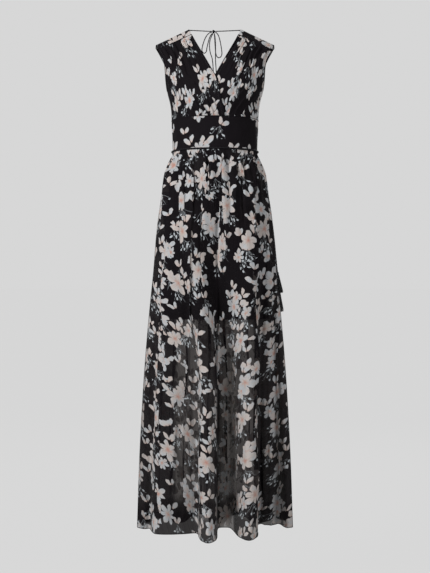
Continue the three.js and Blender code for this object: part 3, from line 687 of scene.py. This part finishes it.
def cloth_material(name, printed, ground_alpha, ink_alpha, sparse=0.0):
    """Printed chiffon: the dark ground lets more light through than the pale ink does."""
    material, tree, surface = new_material(name)
    vector = node(tree, "ShaderNodeUVMap", uv_map="cloth")
    pattern = use(printed, Vector=vector, Sparse=sparse)
    # Painted shade: the print darkens toward the ground by the stored share of painted shade in folds
    color = blend(stored(tree, "painted_shade"), pattern["Color"], GROUND)
    result = fabric(color, weave(vector, 0.0011, 0.0004, 2.4), 0.78, 0.02, 0.45, 0.15)
    if ground_alpha < 1:
        clear = node(tree, "ShaderNodeBsdfTransparent", {"Color": (1.0, 0.965, 0.945)})
        threads = noise(moved(vector, scale=(0.0022, 0.11, 1)), 1.0, 2.0) * 0.24 - 0.12
        alpha = pattern["Ink"] * (ink_alpha - ground_alpha) + ground_alpha
        # Less of the cloth is clear where it is doubled, and where it is made denser as painted shade along
        # fold edges
        clearness = (1.0 - alpha.math("ADD", threads, clamp=True)) * (1.0 - stored(tree, "doubled_and_shaded"))
        result = node(tree, "ShaderNodeMixShader", {0: 1.0 - clearness, 1: clear, 2: result})
    put(tree, surface, result)
    return material


def plain_material(name, color, roughness, pitch, depth, sheen=0.3, specular=0.5):
    material, tree, surface = new_material(name)
    vector = node(tree, "ShaderNodeUVMap", uv_map="cloth")
    shade = blend(noise(vector, 210.0, 3.0, "3D"), color, tuple(1.7 * part for part in color))
    put(tree, surface, fabric(shade, weave(vector, pitch, depth), roughness, sheen, 0.4, specular))
    return material


PRINT = print_group()
CHIFFON = cloth_material("chiffon", PRINT, 0.72, 0.92)
LINED = cloth_material("lined_chiffon", PRINT, 1.0, 1.0, 0.25)
SLIP = plain_material("slip_satin", (0.009, 0.008, 0.010), 0.42, 0.0006, 0.0001)
CORD = plain_material("cord_cloth", (0.008, 0.007, 0.009), 0.65, 0.0009, 0.0002, 0.05, 0.2)
THREAD = plain_material("tassel_thread", (0.008, 0.0075, 0.009), 0.45, 0.0005, 0.0001, 0.5)
BINDING = plain_material("binding", (0.006, 0.005, 0.007), 0.75, 0.0009, 0.0002, 0.03, 0.1)
STITCH = plain_material("stitch_thread", (0.020, 0.018, 0.022), 0.5, 0.0004, 0.0001)

# Camera, straight in front at the middle of the picture
camera_data = bpy.data.cameras.new("camera")
camera_data.lens = 66.83
camera_data.sensor_width = 36.0
camera_data.clip_end = 1000.0
camera = added("camera", camera_data)
camera.location = (0.0, -3.0, -0.705)
camera.rotation_euler = (math.pi / 2, 0, 0)
bpy.context.scene.camera = camera


def tube_points(path, radius_at, sides):
    """Rings round a path, kept from turning, with their lengths along it."""
    path = np.array(path, float)
    tangent, along = unit(np.gradient(path, axis=0)), lengths_along(path, 0)
    start = np.cross(tangent[0], (0.0, 0.0, 1.0))
    if np.linalg.norm(start) < 0.2:
        start = np.cross(tangent[0], (0.0, 1.0, 0.0))
    normal = unit(start)
    angle = np.linspace(0, 2 * math.pi, sides, endpoint=False)
    rings = []
    for k, forward in enumerate(tangent):
        normal = unit(normal - forward * np.dot(normal, forward))
        beside = np.cross(forward, normal)
        radius = radius_at(along[k], angle)[:, None]
        rings.append(path[k] + radius * (np.cos(angle)[:, None] * normal + np.sin(angle)[:, None] * beside))
    return np.array(rings), along


def tube_parts(path, radius_at, sides, closed=False):
    """Vertices, faces and face-corner UVs of a tube round a path, capped unless it is a loop."""
    rings, along = tube_points(path, radius_at, sides)
    count = len(rings)
    faces, uvs = [], []
    round_length = 2 * math.pi * float(np.mean(radius_at(0.0, np.zeros(1))))
    for k in range(count if closed else count - 1):
        a, b = k * sides, ((k + 1) % count) * sides
        v0, v1 = along[k], along[min(k + 1, count - 1)]
        for j in range(sides):
            n = (j + 1) % sides
            faces.append((a + j, a + n, b + n, b + j))
            u0, u1 = j / sides * round_length, (j + 1) / sides * round_length
            uvs += [(u0, v0), (u1, v0), (u1, v1), (u0, v1)]
    if not closed:
        faces.append(tuple(reversed(range(sides))))
        faces.append(tuple(range((count - 1) * sides, count * sides)))
        uvs += [(0.0, 0.0)] * (2 * sides)
    return rings.reshape(-1, 3), faces, np.array(uvs)


def piece_from(name, parts, material):
    """One piece from the vertices, faces and UVs of several parts, in millimetres."""
    verts, faces, uvs = [], [], []
    for part_verts, part_faces, part_uvs in parts:
        first = sum(len(done) for done in verts)
        verts.append(part_verts)
        faces += [tuple(first + k for k in face) for face in part_faces]
        uvs.append(part_uvs)
    return piece_of(name, np.vstack(verts), faces, np.vstack(uvs) * MM, material)


def tube(name, path, radius_at, sides, material, closed=False):
    return piece_from(name, [tube_parts(path, radius_at, sides, closed)], material)


def even(half):
    """The same radius all along and all round."""
    return lambda along, angle: np.full(len(angle), half)


def trim(name, line, half, sides=8, closed=False):
    """A thin tube of dark cloth along a line: a binding, a piped seam or a rolled hem."""
    tube(name, line, even(half), sides, BINDING, closed)


def rolled(diameter, twist=9.0, ridge=0.07):
    """Radius of a cord of rolled cloth: slanting wrinkles round it, and small uneven swellings."""
    def radius_at(along, angle):
        slant = np.cos(2 * angle - 2 * math.pi * along / twist)
        uneven = 0.03 * math.sin(along * 0.31) + 0.02 * math.sin(along * 0.83 + 1)
        return diameter / 2 * (1 - ridge + ridge * slant + uneven)
    return radius_at


def tapered(radius_at, outside):
    """The same cord, thinner where it runs on inside the tassel's threads."""
    def shape(along, angle):
        return radius_at(along, angle) * float(np.interp(along, [outside + 6, outside + 14], [1.0, 0.35]))
    return shape


WAIST_CORD = 3.5
NECK_CORD = 2.8
WAIST_CORD_LIFT = 2.7
WAIST_KNOT = ((113.6, 40.4, -327.5), 6.5)
NECK_KNOT = ((-3.4, 13.0, 17.0), 5.2)
END_KNOT_RADIUS, END_KNOT_CORD = 3.0, 1.9
# Angle that the waist knot takes up of the ring, on each side of it
KNOT_CLEARANCE = 0.108
TASSELS = {
    "tassel_upper": ((177.0, 16.4, -664.0), (189.0, 17.0, -723.0), 5.5),
    "tassel_lower": ((176.2, 30.1, -683.0), (190.0, 33.0, -777.0), 7.0),
}
ROUTES = {
    "waist_end_upper": [
        (116.6, 39.4, -333.9), (118, 38.4, -341), (124.4, 37, -353), (133.4, 35, -366), (139.2, 33, -382),
        (142.4, 31, -400), (146.2, 29, -425), (152.4, 27, -455), (157.4, 25, -485), (161.3, 23, -515),
        (165.6, 21, -550), (169.3, 19, -585), (172, 18, -615), (174.6, 17, -642), (176.9, 16.4, -663.6),
    ],
    "waist_end_lower": [
        (113.9, 45.5, -332.9), (115.4, 46.6, -339.5), (119.6, 46.8, -351), (126, 46, -366), (131.6, 45, -382),
        (138, 43.6, -400), (144.4, 42, -425), (149, 40.6, -455), (153.4, 39, -485), (157.4, 37.6, -515),
        (162.2, 36, -550), (166.8, 34.4, -585), (169.8, 33, -620), (172.4, 31.6, -650), (176, 30.2, -682.6),
    ],
    "neck_run_right": [
        (-72.4, 4, 18.4), (-56, 6.5, 18.2), (-40, 9, 18), (-24, 11.4, 17.8), (-9.2, 12.8, 17.6),
    ],
    "neck_run_left": [(72.4, 4, 18.4), (54, 6.5, 18.2), (36, 9, 18), (18, 11.4, 17.8), (2.4, 12.8, 17.6)],
    "neck_loop_right": [
        (-7.6, 9.4, 15), (-14, 8.6, 13.2), (-20, 8.4, 8.5), (-25, 8.4, 2), (-29, 8.4, -6), (-32.4, 8.4, -15),
        (-35, 8.4, -24), (-36.6, 8.4, -32), (-36.2, 8.4, -40), (-30.3, 8.4, -45.4), (-24.4, 8.4, -40),
        (-23, 8.4, -31), (-20.4, 8.4, -20), (-17.6, 8.4, -8), (-14, 8.6, 2), (-8, 9.6, 11.2),
    ],
    "neck_loop_left": [
        (1, 9.8, 14.8), (6.6, 8.8, 10), (10.4, 8.4, 3), (13.2, 8.4, -6), (15.6, 8.4, -17), (17.6, 8.4, -28),
        (19.2, 8.4, -39), (19.4, 8.4, -48), (16.6, 8.4, -55), (10.6, 8.4, -58), (5, 8.4, -54), (2.2, 8.4, -45),
        (0.8, 8.4, -32), (-0.2, 8.4, -16), (-1, 8.8, -2), (-2, 10.6, 10.8),
    ],
    "neck_end_right": [
        (-5.6, 15.5, 12.6), (-10.2, 17.4, 4), (-14, 17.6, -6), (-15.4, 17.6, -18), (-15.2, 17.6, -30),
        (-12.8, 17.6, -44), (-8.6, 17.6, -56), (-6.4, 17.6, -70), (-5.4, 17.6, -86), (-4.6, 17.6, -102),
        (-4, 17.6, -118), (-3.6, 17.6, -134), (-3.4, 17.6, -150),
    ],
    "neck_end_left": [
        (-1.9, 16.2, 12.6), (0, 18, 3), (1.2, 18.2, -10), (1.6, 18.2, -24), (1.6, 18.2, -38), (1.4, 18.2, -52),
        (1.8, 18.2, -68), (2.8, 18.2, -84), (3.6, 18.2, -100), (4.2, 18.2, -116), (4.6, 18.2, -132),
        (4.8, 18.2, -148), (4.8, 18.2, -160),
    ],
}
# What each kind of free cord ends in, and how it lies
CORD_FACTS = {
    "waist_end": ("fitting", "hanging"), "neck_run": ("object", "taut"),
    "neck_loop": ("object", "hanging"), "neck_end": ("knot", "hanging"),
}
# Lengths along a tassel's head and its radius there
TASSEL_HEAD = ([0, 0.4, 2, 5, 7.6, 8.2, 9.4, 10, 12], [1.6, 2.6, 3.3, 3.2, 2.3, 2.6, 2.6, 2.4, 3.2])
STRANDS = 120
THREAD_HALF = 0.3


def knot_path(centre, radius, thickness, tilt):
    """A trefoil loop, flattened and tilted, that fills the ball of a tied knot."""
    t = np.linspace(0, 2 * math.pi, 160, endpoint=False)
    reach = radius - thickness / 2
    x = (np.sin(t) + 2 * np.sin(2 * t)) / 3 * reach
    z = (np.cos(t) - 2 * np.cos(2 * t)) / 3 * reach
    y = -np.sin(3 * t) * reach * 0.5
    turned_x = x * math.cos(tilt) - z * math.sin(tilt)
    turned_z = x * math.sin(tilt) + z * math.cos(tilt)
    return together(turned_x, y, turned_z) + np.array(centre)


def head_radius(along, angle):
    """Radius of a tassel's bound head, with the turns of its binding."""
    return np.full(len(angle), float(np.interp(along, *TASSEL_HEAD)) + 0.12 * math.cos(along * 11))


def tassel(name, top, end, radius):
    """A bound head and fine strands that spread below it, as one piece."""
    top, end = np.array(top), np.array(end)
    axis, length = unit(end - top), np.linalg.norm(end - top)
    aside = unit(np.cross(axis, (0.0, 1.0, 0.0)))
    front = np.cross(axis, aside)
    parts = [tube_parts([top + axis * s for s in np.linspace(0, 12, 40)], head_radius, 20)]
    share = np.linspace(0, 1, 9)[:, None]
    for k in range(STRANDS):
        ring = math.sqrt((k + 0.5) / STRANDS)
        angle = k * math.pi * (3 - math.sqrt(5))
        direction = math.cos(angle) * aside + math.sin(angle) * front
        low = length * (0.955 + 0.045 * math.sin(k * 12.9898))
        spread = mix(2.7 * ring, (radius - 0.6) * ring, share**0.8) + 0.35 * np.sin(share * 7 + k) * share
        sway = 0.5 * math.sin(k * 3.7) * share
        path = top + axis * mix(9.0, low, share) + direction * spread + aside * sway
        parts.append(tube_parts(path, even(THREAD_HALF), 4))
    return piece_from(name + "_threads", parts, THREAD)


tassels = {}
for name, (top, end, radius) in TASSELS.items():
    tassels[name] = tassel(name, top, end, radius)
    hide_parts(name)

for name, route in ROUTES.items():
    waist = name.startswith("waist")
    diameter = WAIST_CORD if waist else NECK_CORD
    path = spline(route, 40 + 3 * len(route) * (4 if waist else 2))
    shape, extra = rolled(diameter), []
    if waist:
        own_tassel = "tassel" + name[len("waist_end"):]
        top, end = (np.array(place) for place in TASSELS[own_tassel][:2])
        shape = tapered(shape, float(lengths_along(path, 0)[-1]))
        path = np.vstack([path, [top + unit(end - top) * reach for reach in range(2, 34, 2)]])
        extra = [tassels[own_tassel]]
    piece = tube(name + "_cord", path, shape, 12, CORD)
    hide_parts(name)
    far_end, lay = CORD_FACTS[name.rsplit("_", 1)[0]]
    if far_end == "knot":
        end_knot = knot_path(path[-1] + np.array((0, 0, -1.4)), END_KNOT_RADIUS, END_KNOT_CORD, 0.4)
        extra = [tube(name + "_knot", end_knot, even(END_KNOT_CORD / 2), 8, CORD, closed=True)]
    round(float(lengths_along(path, 0)[-1]) * MM, 4)
    diameter * MM

for name, (centre, radius), thickness, tilt in (
    ("waist_knot", WAIST_KNOT, WAIST_CORD, 0.5), ("neck_knot", NECK_KNOT, NECK_CORD, -0.3),
):
    loop = knot_path(centre, radius, thickness, tilt)
    piece = tube(name + "_tied", loop, even(thickness / 2 * 0.97), 12, CORD, closed=True)
    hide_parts(name)


def waist_ring(lift, start, end, count, z=WAIST_Z):
    """Points round the waist at a distance outside the cloth, by angle from +X through the back."""
    angle = np.linspace(start, end, count)
    sine, cosine = np.sin(angle), np.cos(angle)
    side, front, back = (float(table_at(FORM, column, z)) + lift for column in (SIDE, FRONT, BACK))
    return together(side * squared(cosine), np.where(sine > 0, back, front) * squared(sine), float(z))


knot_back = float(table_at(FORM, BACK, WAIST_Z)) + WAIST_CORD_LIFT
knot_angle = math.asin((WAIST_KNOT[0][1] / knot_back) ** (1 / POWER))
start, end = knot_angle + KNOT_CLEARANCE, knot_angle + 2 * math.pi - KNOT_CLEARANCE
belt = spline(waist_ring(WAIST_CORD_LIFT, start, end, 1200)[::6], 600)
piece = tube("waist_cord_belt", belt, rolled(WAIST_CORD), 12, CORD)
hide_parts("waist_cord")

# Skirt halves: thin sheer cloth with a rolled hem, and piped side seams
for facing, folds, creases, pleats, shade_zones, shift, hem_half in (
    ("front", FRONT_FOLDS, FRONT_CREASES, FRONT_DOUBLED_AND_SHADED, FRONT_PAINTED_SHADE, (0.031, 0.0), 1.1),
    ("back", BACK_FOLDS, BACK_CREASES, BACK_DOUBLED_AND_SHADED, BACK_PAINTED_SHADE, (2.417, 0.55), 0.7),
):
    points, lengths = skirt_points(facing, folds, creases)
    x, y, z = np.abs(points[..., 0]), np.abs(points[..., 1]), points[..., 2]
    flat = flat_coordinates(points, lengths, shift)
    piece = cloth("skirt_" + facing + "_cloth", points, flat, CHIFFON)
    turned_hem = TURNED_HEM * np.maximum(smooth(20, 60, y), smooth(140, 175, x)) * smooth(*TURNED_HEM_LEVELS, z)
    # Doubled cloth of hidden pleats and the turned hem, and denser cloth as painted shade along fold edges
    store(piece, "doubled_and_shaded", np.maximum(zoned(points, pleats), turned_hem))
    # Painted shade over the print in the skirt's folds, kept off the top of the skirt
    store(piece, "painted_shade", zoned(points, shade_zones) * smooth(-380, -560, z))
    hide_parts("skirt_" + facing)
    width = float(lengths_along(points)[-1, -1]) * MM
    trim("skirt_hem_" + facing, points[-1] + np.array((0, 0, 0.6)), hem_half, sides=6)
    if facing == "front":
        trim("seam_side_right", points[3:, 0], 0.9)
        trim("seam_side_left", points[3:, -1], 0.9)


def grid(rows, columns):
    """Shares down and across a grid of points."""
    return np.linspace(0, 1, rows + 1)[:, None], np.linspace(0, 1, columns + 1)


def waistband_pulls(share, u):
    """Slight pulls in the cloth of the waistband."""
    pull = 0.7 * np.sin(19 * u + 5 * share) * np.sin(3.1 * share + 7 * u) + 0.35 * np.sin(61 * u - 4 * share)
    return pull * between(share, 0.12, 0.88) * between(u, 0.04, 0.96)


def lining_waves(share, u):
    """Soft waves of the lining, which grow from its seam downwards."""
    wave = 2.2 * np.sin(17 * u + 1.5 * share + 0.4) + 1.1 * np.sin(41 * u - 2 * share) * share
    return wave * smooth(0, 0.15, share) * between(u, 0.05, 0.95)


def half_tube(table, facing, top, bottom, rows, columns, waves):
    """Half of a tube of cloth between two levels, with its own waves."""
    y, run, column = FACING[facing]
    share, u = grid(rows, columns)
    z, angle = mix(top, bottom, share), math.pi * (u - 0.5)
    depth = table_at(table, column, z) * squared(np.maximum(0, np.cos(angle)))
    x = run * table_at(table, SIDE, z) * squared(np.sin(angle))
    points = together(x, y * np.maximum(SEAM_GAP / 2, depth), z)
    points[..., :2] += unit(points[..., :2]) * waves(share, u)[..., None]
    return points


# Waistband and lining halves: form, levels, grid and waves, where the front and the back lie in their cloth,
# then material, slot, thickness, height and hold
WAISTBAND = (FORM, UNDERBUST_Z - SEAM_GAP / 2, WAIST_Z + SEAM_GAP / 2, 35, 160, waistband_pulls)
SLIP_LINING = (LINING, WAIST_Z - SEAM_GAP / 2, LINING_HEM_Z, 69, 120, lining_waves)
WAISTBAND_PLACES = ((0.12, 0.648), (1.713, 0.871))
SLIP_PLACES = ((0.0, 0.0), (0.7, 0.3))
for name, (table, *shape), shifts, material, slot, thickness, height, held in (
    ("waistband_", WAISTBAND, WAISTBAND_PLACES, LINED, "printed_cloth", 1.0, 0.088, "stretched"),
    ("lining_", SLIP_LINING, SLIP_PLACES, SLIP, "slip_lining", 0.5, 0.476, "gathered"),
):
    for facing, shift in zip(FACING, shifts):
        points = half_tube(table, facing, *shape)
        lengths = lengths_along(points)
        flat = flat_coordinates(points, lengths, shift)
        piece = cloth(name + facing + "_cloth", points, flat, material, thickness)
        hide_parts(name + facing)

# Pleats of a front panel: share across from the neckline and share down, at its top and at its bottom,
# then half-width, height and lean. The first ones hang from the yoke, and the others rise from the seam.
BODICE_PLEATS = [
    (0.10, 0.0, 0.09, 0.50, 3.2, 2.4, 5.5), (0.21, 0.0, 0.20, 0.62, 3.0, 2.8, 6.5),
    (0.32, 0.0, 0.31, 0.44, 3.2, 2.6, 6), (0.43, 0.0, 0.43, 0.66, 3.0, 3.0, 7),
    (0.54, 0.0, 0.55, 0.50, 3.2, 2.6, 6), (0.65, 0.0, 0.67, 0.60, 3.0, 3.0, 7),
    (0.76, 0.0, 0.79, 0.46, 3.2, 2.6, 6), (0.87, 0.0, 0.90, 0.40, 3.0, 2.2, 5),
    (0.155, 0.0, 0.15, 0.22, 2.4, 1.8, 3), (0.375, 0.0, 0.37, 0.24, 2.4, 1.8, 3),
    (0.60, 0.0, 0.60, 0.22, 2.4, 1.8, 3), (0.82, 0.0, 0.82, 0.20, 2.4, 1.8, 3),
    (0.42, 0.52, 0.14, 1.0, 3.6, 2.8, -7), (0.56, 0.46, 0.23, 1.0, 3.4, 3.0, -7.5),
    (0.66, 0.56, 0.32, 1.0, 3.4, 2.8, -7), (0.78, 0.50, 0.42, 1.0, 3.4, 3.0, -7.5),
    (0.86, 0.60, 0.54, 1.0, 3.2, 2.8, -6.5), (0.92, 0.66, 0.68, 1.0, 3.2, 2.4, -6),
    (0.30, 0.70, 0.085, 1.0, 3.2, 2.2, -5), (0.955, 0.78, 0.82, 1.0, 3.0, 2.0, -5),
]
# The same for a back panel
BACK_PLEATS = [
    (0.16, 0.0, 0.17, 0.34, 3.2, 2.2, 5), (0.34, 0.0, 0.36, 0.46, 3.0, 2.4, 5.5),
    (0.52, 0.0, 0.55, 0.36, 3.2, 2.2, 5), (0.70, 0.0, 0.74, 0.44, 3.0, 2.4, 5.5),
    (0.87, 0.0, 0.90, 0.30, 3.0, 2.0, 4.5), (0.30, 0.70, 0.22, 1.0, 3.2, 2.2, -5),
    (0.48, 0.62, 0.40, 1.0, 3.2, 2.4, -5.5), (0.66, 0.72, 0.58, 1.0, 3.2, 2.2, -5),
]


# Heights of the neck edge and of the armhole edge at the top of a panel
FRONT_TOPS = (1.2, -42.8)
BACK_TOPS = (13.1, -30.9)
# Places across a front panel: where the wrap's lift starts to fall, where gathers are full, where the lift ends
WRAP_START, GATHERS_FULL, WRAP_END = 34, 56, 94
FRONT_GATHERS = 28
FRONT_GATHER_HEIGHT = 2.1


def edge_at(table, top, share):
    """Where an edge of a bodice panel lies, by the share of the way down from its top."""
    z = mix(top, UNDERBUST_Z + SEAM_GAP / 2, share)
    return table_at(table, SIDE, z), z


def pleated(points, pleats, share, held, hand, reverse, calm=lambda centre: 1.0):
    """A panel with its pleats, its columns turned round where asked, and the print's lengths along it."""
    lines = []
    for u_top, top, u_bottom, bottom, width, height, lean in pleats:
        t = np.clip((share - top) / (bottom - top), 0, 1)
        centre = mix(u_top, u_bottom, t**0.8)
        reach = smooth(top - 0.02, top + 0.06, share) * smooth(bottom + 0.02, bottom - 0.06, share)
        fade = mix(1, 0.4, t) if top < 0.3 else mix(0.4, 1, t)
        wander = 1.2 * np.sin(share * 9 + u_top * 40 + hand)
        raised = reach * fade * calm(centre)
        if reverse:
            centre, wander, lean = 1 - centre, -wander, -lean
        lines.append((centre, wander, raised, width * (1 + 0.15 * hand), PLEAT_RELIEF * height, lean))
    if reverse:
        points, held = points[:, ::-1], held[:, ::-1]
    lengths = lengths_along(points)
    points, moved_print = creased(points, lines, held, BODICE_TUCK)
    return points, lengths + moved_print


def front_panel(hand, lift):
    """A front panel and its print's lengths. Where it is lifted, it lies over the other one."""
    share, u = grid(130, 170)
    neck_x, neck_z = edge_at(FRONT_NECKLINE, FRONT_TOPS[0], share)
    arm_x, arm_z = edge_at(ARMHOLE, FRONT_TOPS[1], share)
    x, z = mix(neck_x, arm_x, u), mix(neck_z, arm_z, u)
    j = u * FRONT_GATHERS
    clear = smooth(WRAP_START, GATHERS_FULL, x) * (1 - smooth(0.9, 1, u))
    from_yoke = smooth(0, 0.04, share) * (1 - smooth(0.16, 0.72, share))
    uneven = 1 + 0.3 * np.sin(j * 1.3 + 1)
    wave = np.cos(2 * math.pi * j / 4 + 0.4 * np.sin(j * 0.7)) + 0.25 * np.sin(j * 3.9 + hand)
    raised = FRONT_GATHER_HEIGHT * clear * uneven * wave * from_yoke
    raised = raised + lift * (1 - smooth(WRAP_START, WRAP_END, x))
    points = together(hand * x, -np.maximum(SEAM_GAP / 2, form_depth(x, z, FRONT) + raised), z)
    held = between(u, 0.02, 0.97) * between(share, 0.03, 0.985)
    calm = (lambda centre: 1.0) if lift else (lambda centre: smooth(10, 60, mix(neck_x, arm_x, centre)))
    return pleated(points, BODICE_PLEATS, share, held, hand, hand < 0, calm)


def back_panel(hand):
    """A back panel and its print's lengths."""
    share, u = grid(90, 80)
    neck_x, neck_z = edge_at(BACK_NECKLINE, BACK_TOPS[0], share)
    arm_x, arm_z = edge_at(ARMHOLE, BACK_TOPS[1], share)
    x, z = mix(np.maximum(SEAM_GAP / 2, neck_x), arm_x, u), mix(neck_z, arm_z, u)
    soft = 1.1 * np.sin(7 * u - 5 * share + 1) * np.sin(4 * share + 2 * u) + 0.5 * np.sin(23 * u + 6 * share)
    soft = soft * between(u, 0.1, 0.9) * between(share, 0.08, 0.95)
    points = together(hand * x, np.maximum(SEAM_GAP / 2, form_depth(x, z, BACK) + soft), z)
    held = between(u, 0.04, 0.94) * between(share, 0.03, 0.985)
    return pleated(points, BACK_PLEATS, share, held, hand, hand > 0)


def yoke(hand):
    """A yoke from its back seam over the ridge of the shoulder to its front seam."""
    s, t = grid(40, 60)
    back_x, back_z = mix(74, 168, t), mix(14, -30, t)
    front_x, front_z = mix(66, 160, t), mix(2, -42, t)
    ridge_x, ridge_z = mix(73, 166, t), mix(20, -24, t)
    w = (2 * (s - 0.5) * (s - 1), -4 * s * (s - 1), 2 * s * (s - 0.5))
    x = w[0] * back_x + w[1] * ridge_x + w[2] * front_x
    y = w[0] * form_depth(back_x, back_z, BACK) + w[1] * 1.0 - w[2] * form_depth(front_x, front_z, FRONT)
    z = w[0] * back_z + w[1] * ridge_z + w[2] * front_z
    points = together(hand * x, y, z)
    return points[:, ::-1] if hand < 0 else points


def panel(name, points, lengths, shift):
    """A bodice panel, whose print keeps level and runs on from the middle of the body."""
    flat = flat_coordinates(points, lengths, shift)
    flat[..., 1] = points[..., 2] * MM + shift[1]
    flat[..., 0] += (points[:, points.shape[1] // 2, 0] * MM)[:, None]
    piece = cloth(name + "_cloth", points, flat, LINED, 0.8)
    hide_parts(name)


def stitching(name, lines, spacing=3.2):
    """Rows of small stitches that follow lines of points on the cloth."""
    parts = []
    for line in lines:
        along = lengths_along(line, 0)
        for start in np.arange(spacing, along[-1] - spacing, spacing):
            places = start + spacing * np.array([0.0, 0.3, 0.6])
            path = np.stack([np.interp(places, along, values) for values in line.T], axis=1)
            parts.append(tube_parts(path, even(THREAD_HALF), 4))
    piece_from(name, parts, STITCH)


bindings, seams = {}, {}
for side_name, hand in (("right", -1), ("left", 1)):
    front, front_lengths = front_panel(hand, WRAP_LIFT if hand < 0 else 0)
    back, back_lengths = back_panel(hand)
    top = yoke(hand)
    panel("front_bodice_" + side_name, front, front_lengths, (0.203 + 0.3 * hand, 0.151))
    panel("back_bodice_" + side_name, back, back_lengths, (1.107 + 0.4 * hand, 0.371))
    panel("yoke_" + side_name, top, lengths_along(top), (0.577 + 0.3 * hand, 0.033))
    neck, arm = (-1, 0) if hand < 0 else (0, -1)
    bindings["neck_front_" + side_name] = front[:, neck]
    bindings["neck_back_" + side_name] = back[:, arm]
    for title, line in (("front", front[:, arm]), ("back", back[:, neck])):
        bindings["armhole_" + title + "_" + side_name] = line[line[:, 2] > ARMHOLE_END_Z]
    seams["yoke_front_" + side_name] = top[-1]
    seams["yoke_back_" + side_name] = top[0]
    rows = [front[:, 8 * hand], front[:100, -8 * hand], top[-5], top[4]]
    stitching("stitching_" + side_name, rows)

for name, line in bindings.items():
    trim("binding_" + name, line, 1.0)
for name, line in seams.items():
    trim("seam_" + name, line, 0.9)
# The dark waist seam just under the cord is partly the real seam and partly a painted shadow of the cord
for name, height, lift, half in (("underbust", UNDERBUST_Z, 0.1, 0.7), ("waist", WAIST_Z - 2.2, 0.6, 1.1)):
    trim("seam_" + name, waist_ring(lift, 0.0, 2 * math.pi, 401, height)[:-1], half, closed=True)

# Floor and light. What the camera sees of the backdrop is plain grey; less light comes back from it.
BACKGROUND = (0.679, 0.679, 0.679)
AMBIENT = 0.30
FLOOR_REACH, FLOOR_Z = 400.0, -1.62
LAMP_TARGET = Vector((0, 0, -0.7))
LAMPS = [
    ("key", (-2.6, -2.6, 1.1), 1.3, 120.0), ("fill", (2.6, -2.4, -0.2), 1.8, 31.0),
    ("back", (0.6, 3.0, 0.9), 2.0, 60.0),
]


def seen_or_ambient(tree, seen):
    """Strength of the backdrop: full where the camera sees it, and less as light on the dress."""
    return node(tree, "ShaderNodeLightPath")["Is Camera Ray"] * (seen - AMBIENT) + AMBIENT


floor_mesh = bpy.data.meshes.new("floor")
corners = [(x * FLOOR_REACH, y * FLOOR_REACH, FLOOR_Z) for x, y in ((-1, -1), (1, -1), (1, 1), (-1, 1))]
floor_mesh.from_pydata(corners, [], [(0, 1, 2, 3)])
floor = added("floor", floor_mesh)
material, tree, surface = new_material("floor")
glow = node(tree, "ShaderNodeEmission", {"Color": BACKGROUND, "Strength": seen_or_ambient(tree, 0.985)})
matt = node(tree, "ShaderNodeBsdfDiffuse", {"Color": (0.02, 0.02, 0.02)})
put(tree, surface, node(tree, "ShaderNodeAddShader", {0: glow, 1: matt}))
floor_mesh.materials.append(material)

world = bpy.data.worlds.new("studio")
bpy.context.scene.world = world
world.use_nodes = True
backdrop = world.node_tree.nodes["Background"].inputs
put(world.node_tree, backdrop["Color"], BACKGROUND)
put(world.node_tree, backdrop["Strength"], seen_or_ambient(world.node_tree, 1.0))
bpy.context.scene.view_settings.view_transform = "Standard"

for name, place, size, power in LAMPS:
    lamp = bpy.data.lights.new(name, "AREA")
    lamp.size = size
    lamp.energy = power
    holder = added(name, lamp)
    holder.location = place
    holder.rotation_euler = (LAMP_TARGET - Vector(place)).to_track_quat("-Z", "Y").to_euler()
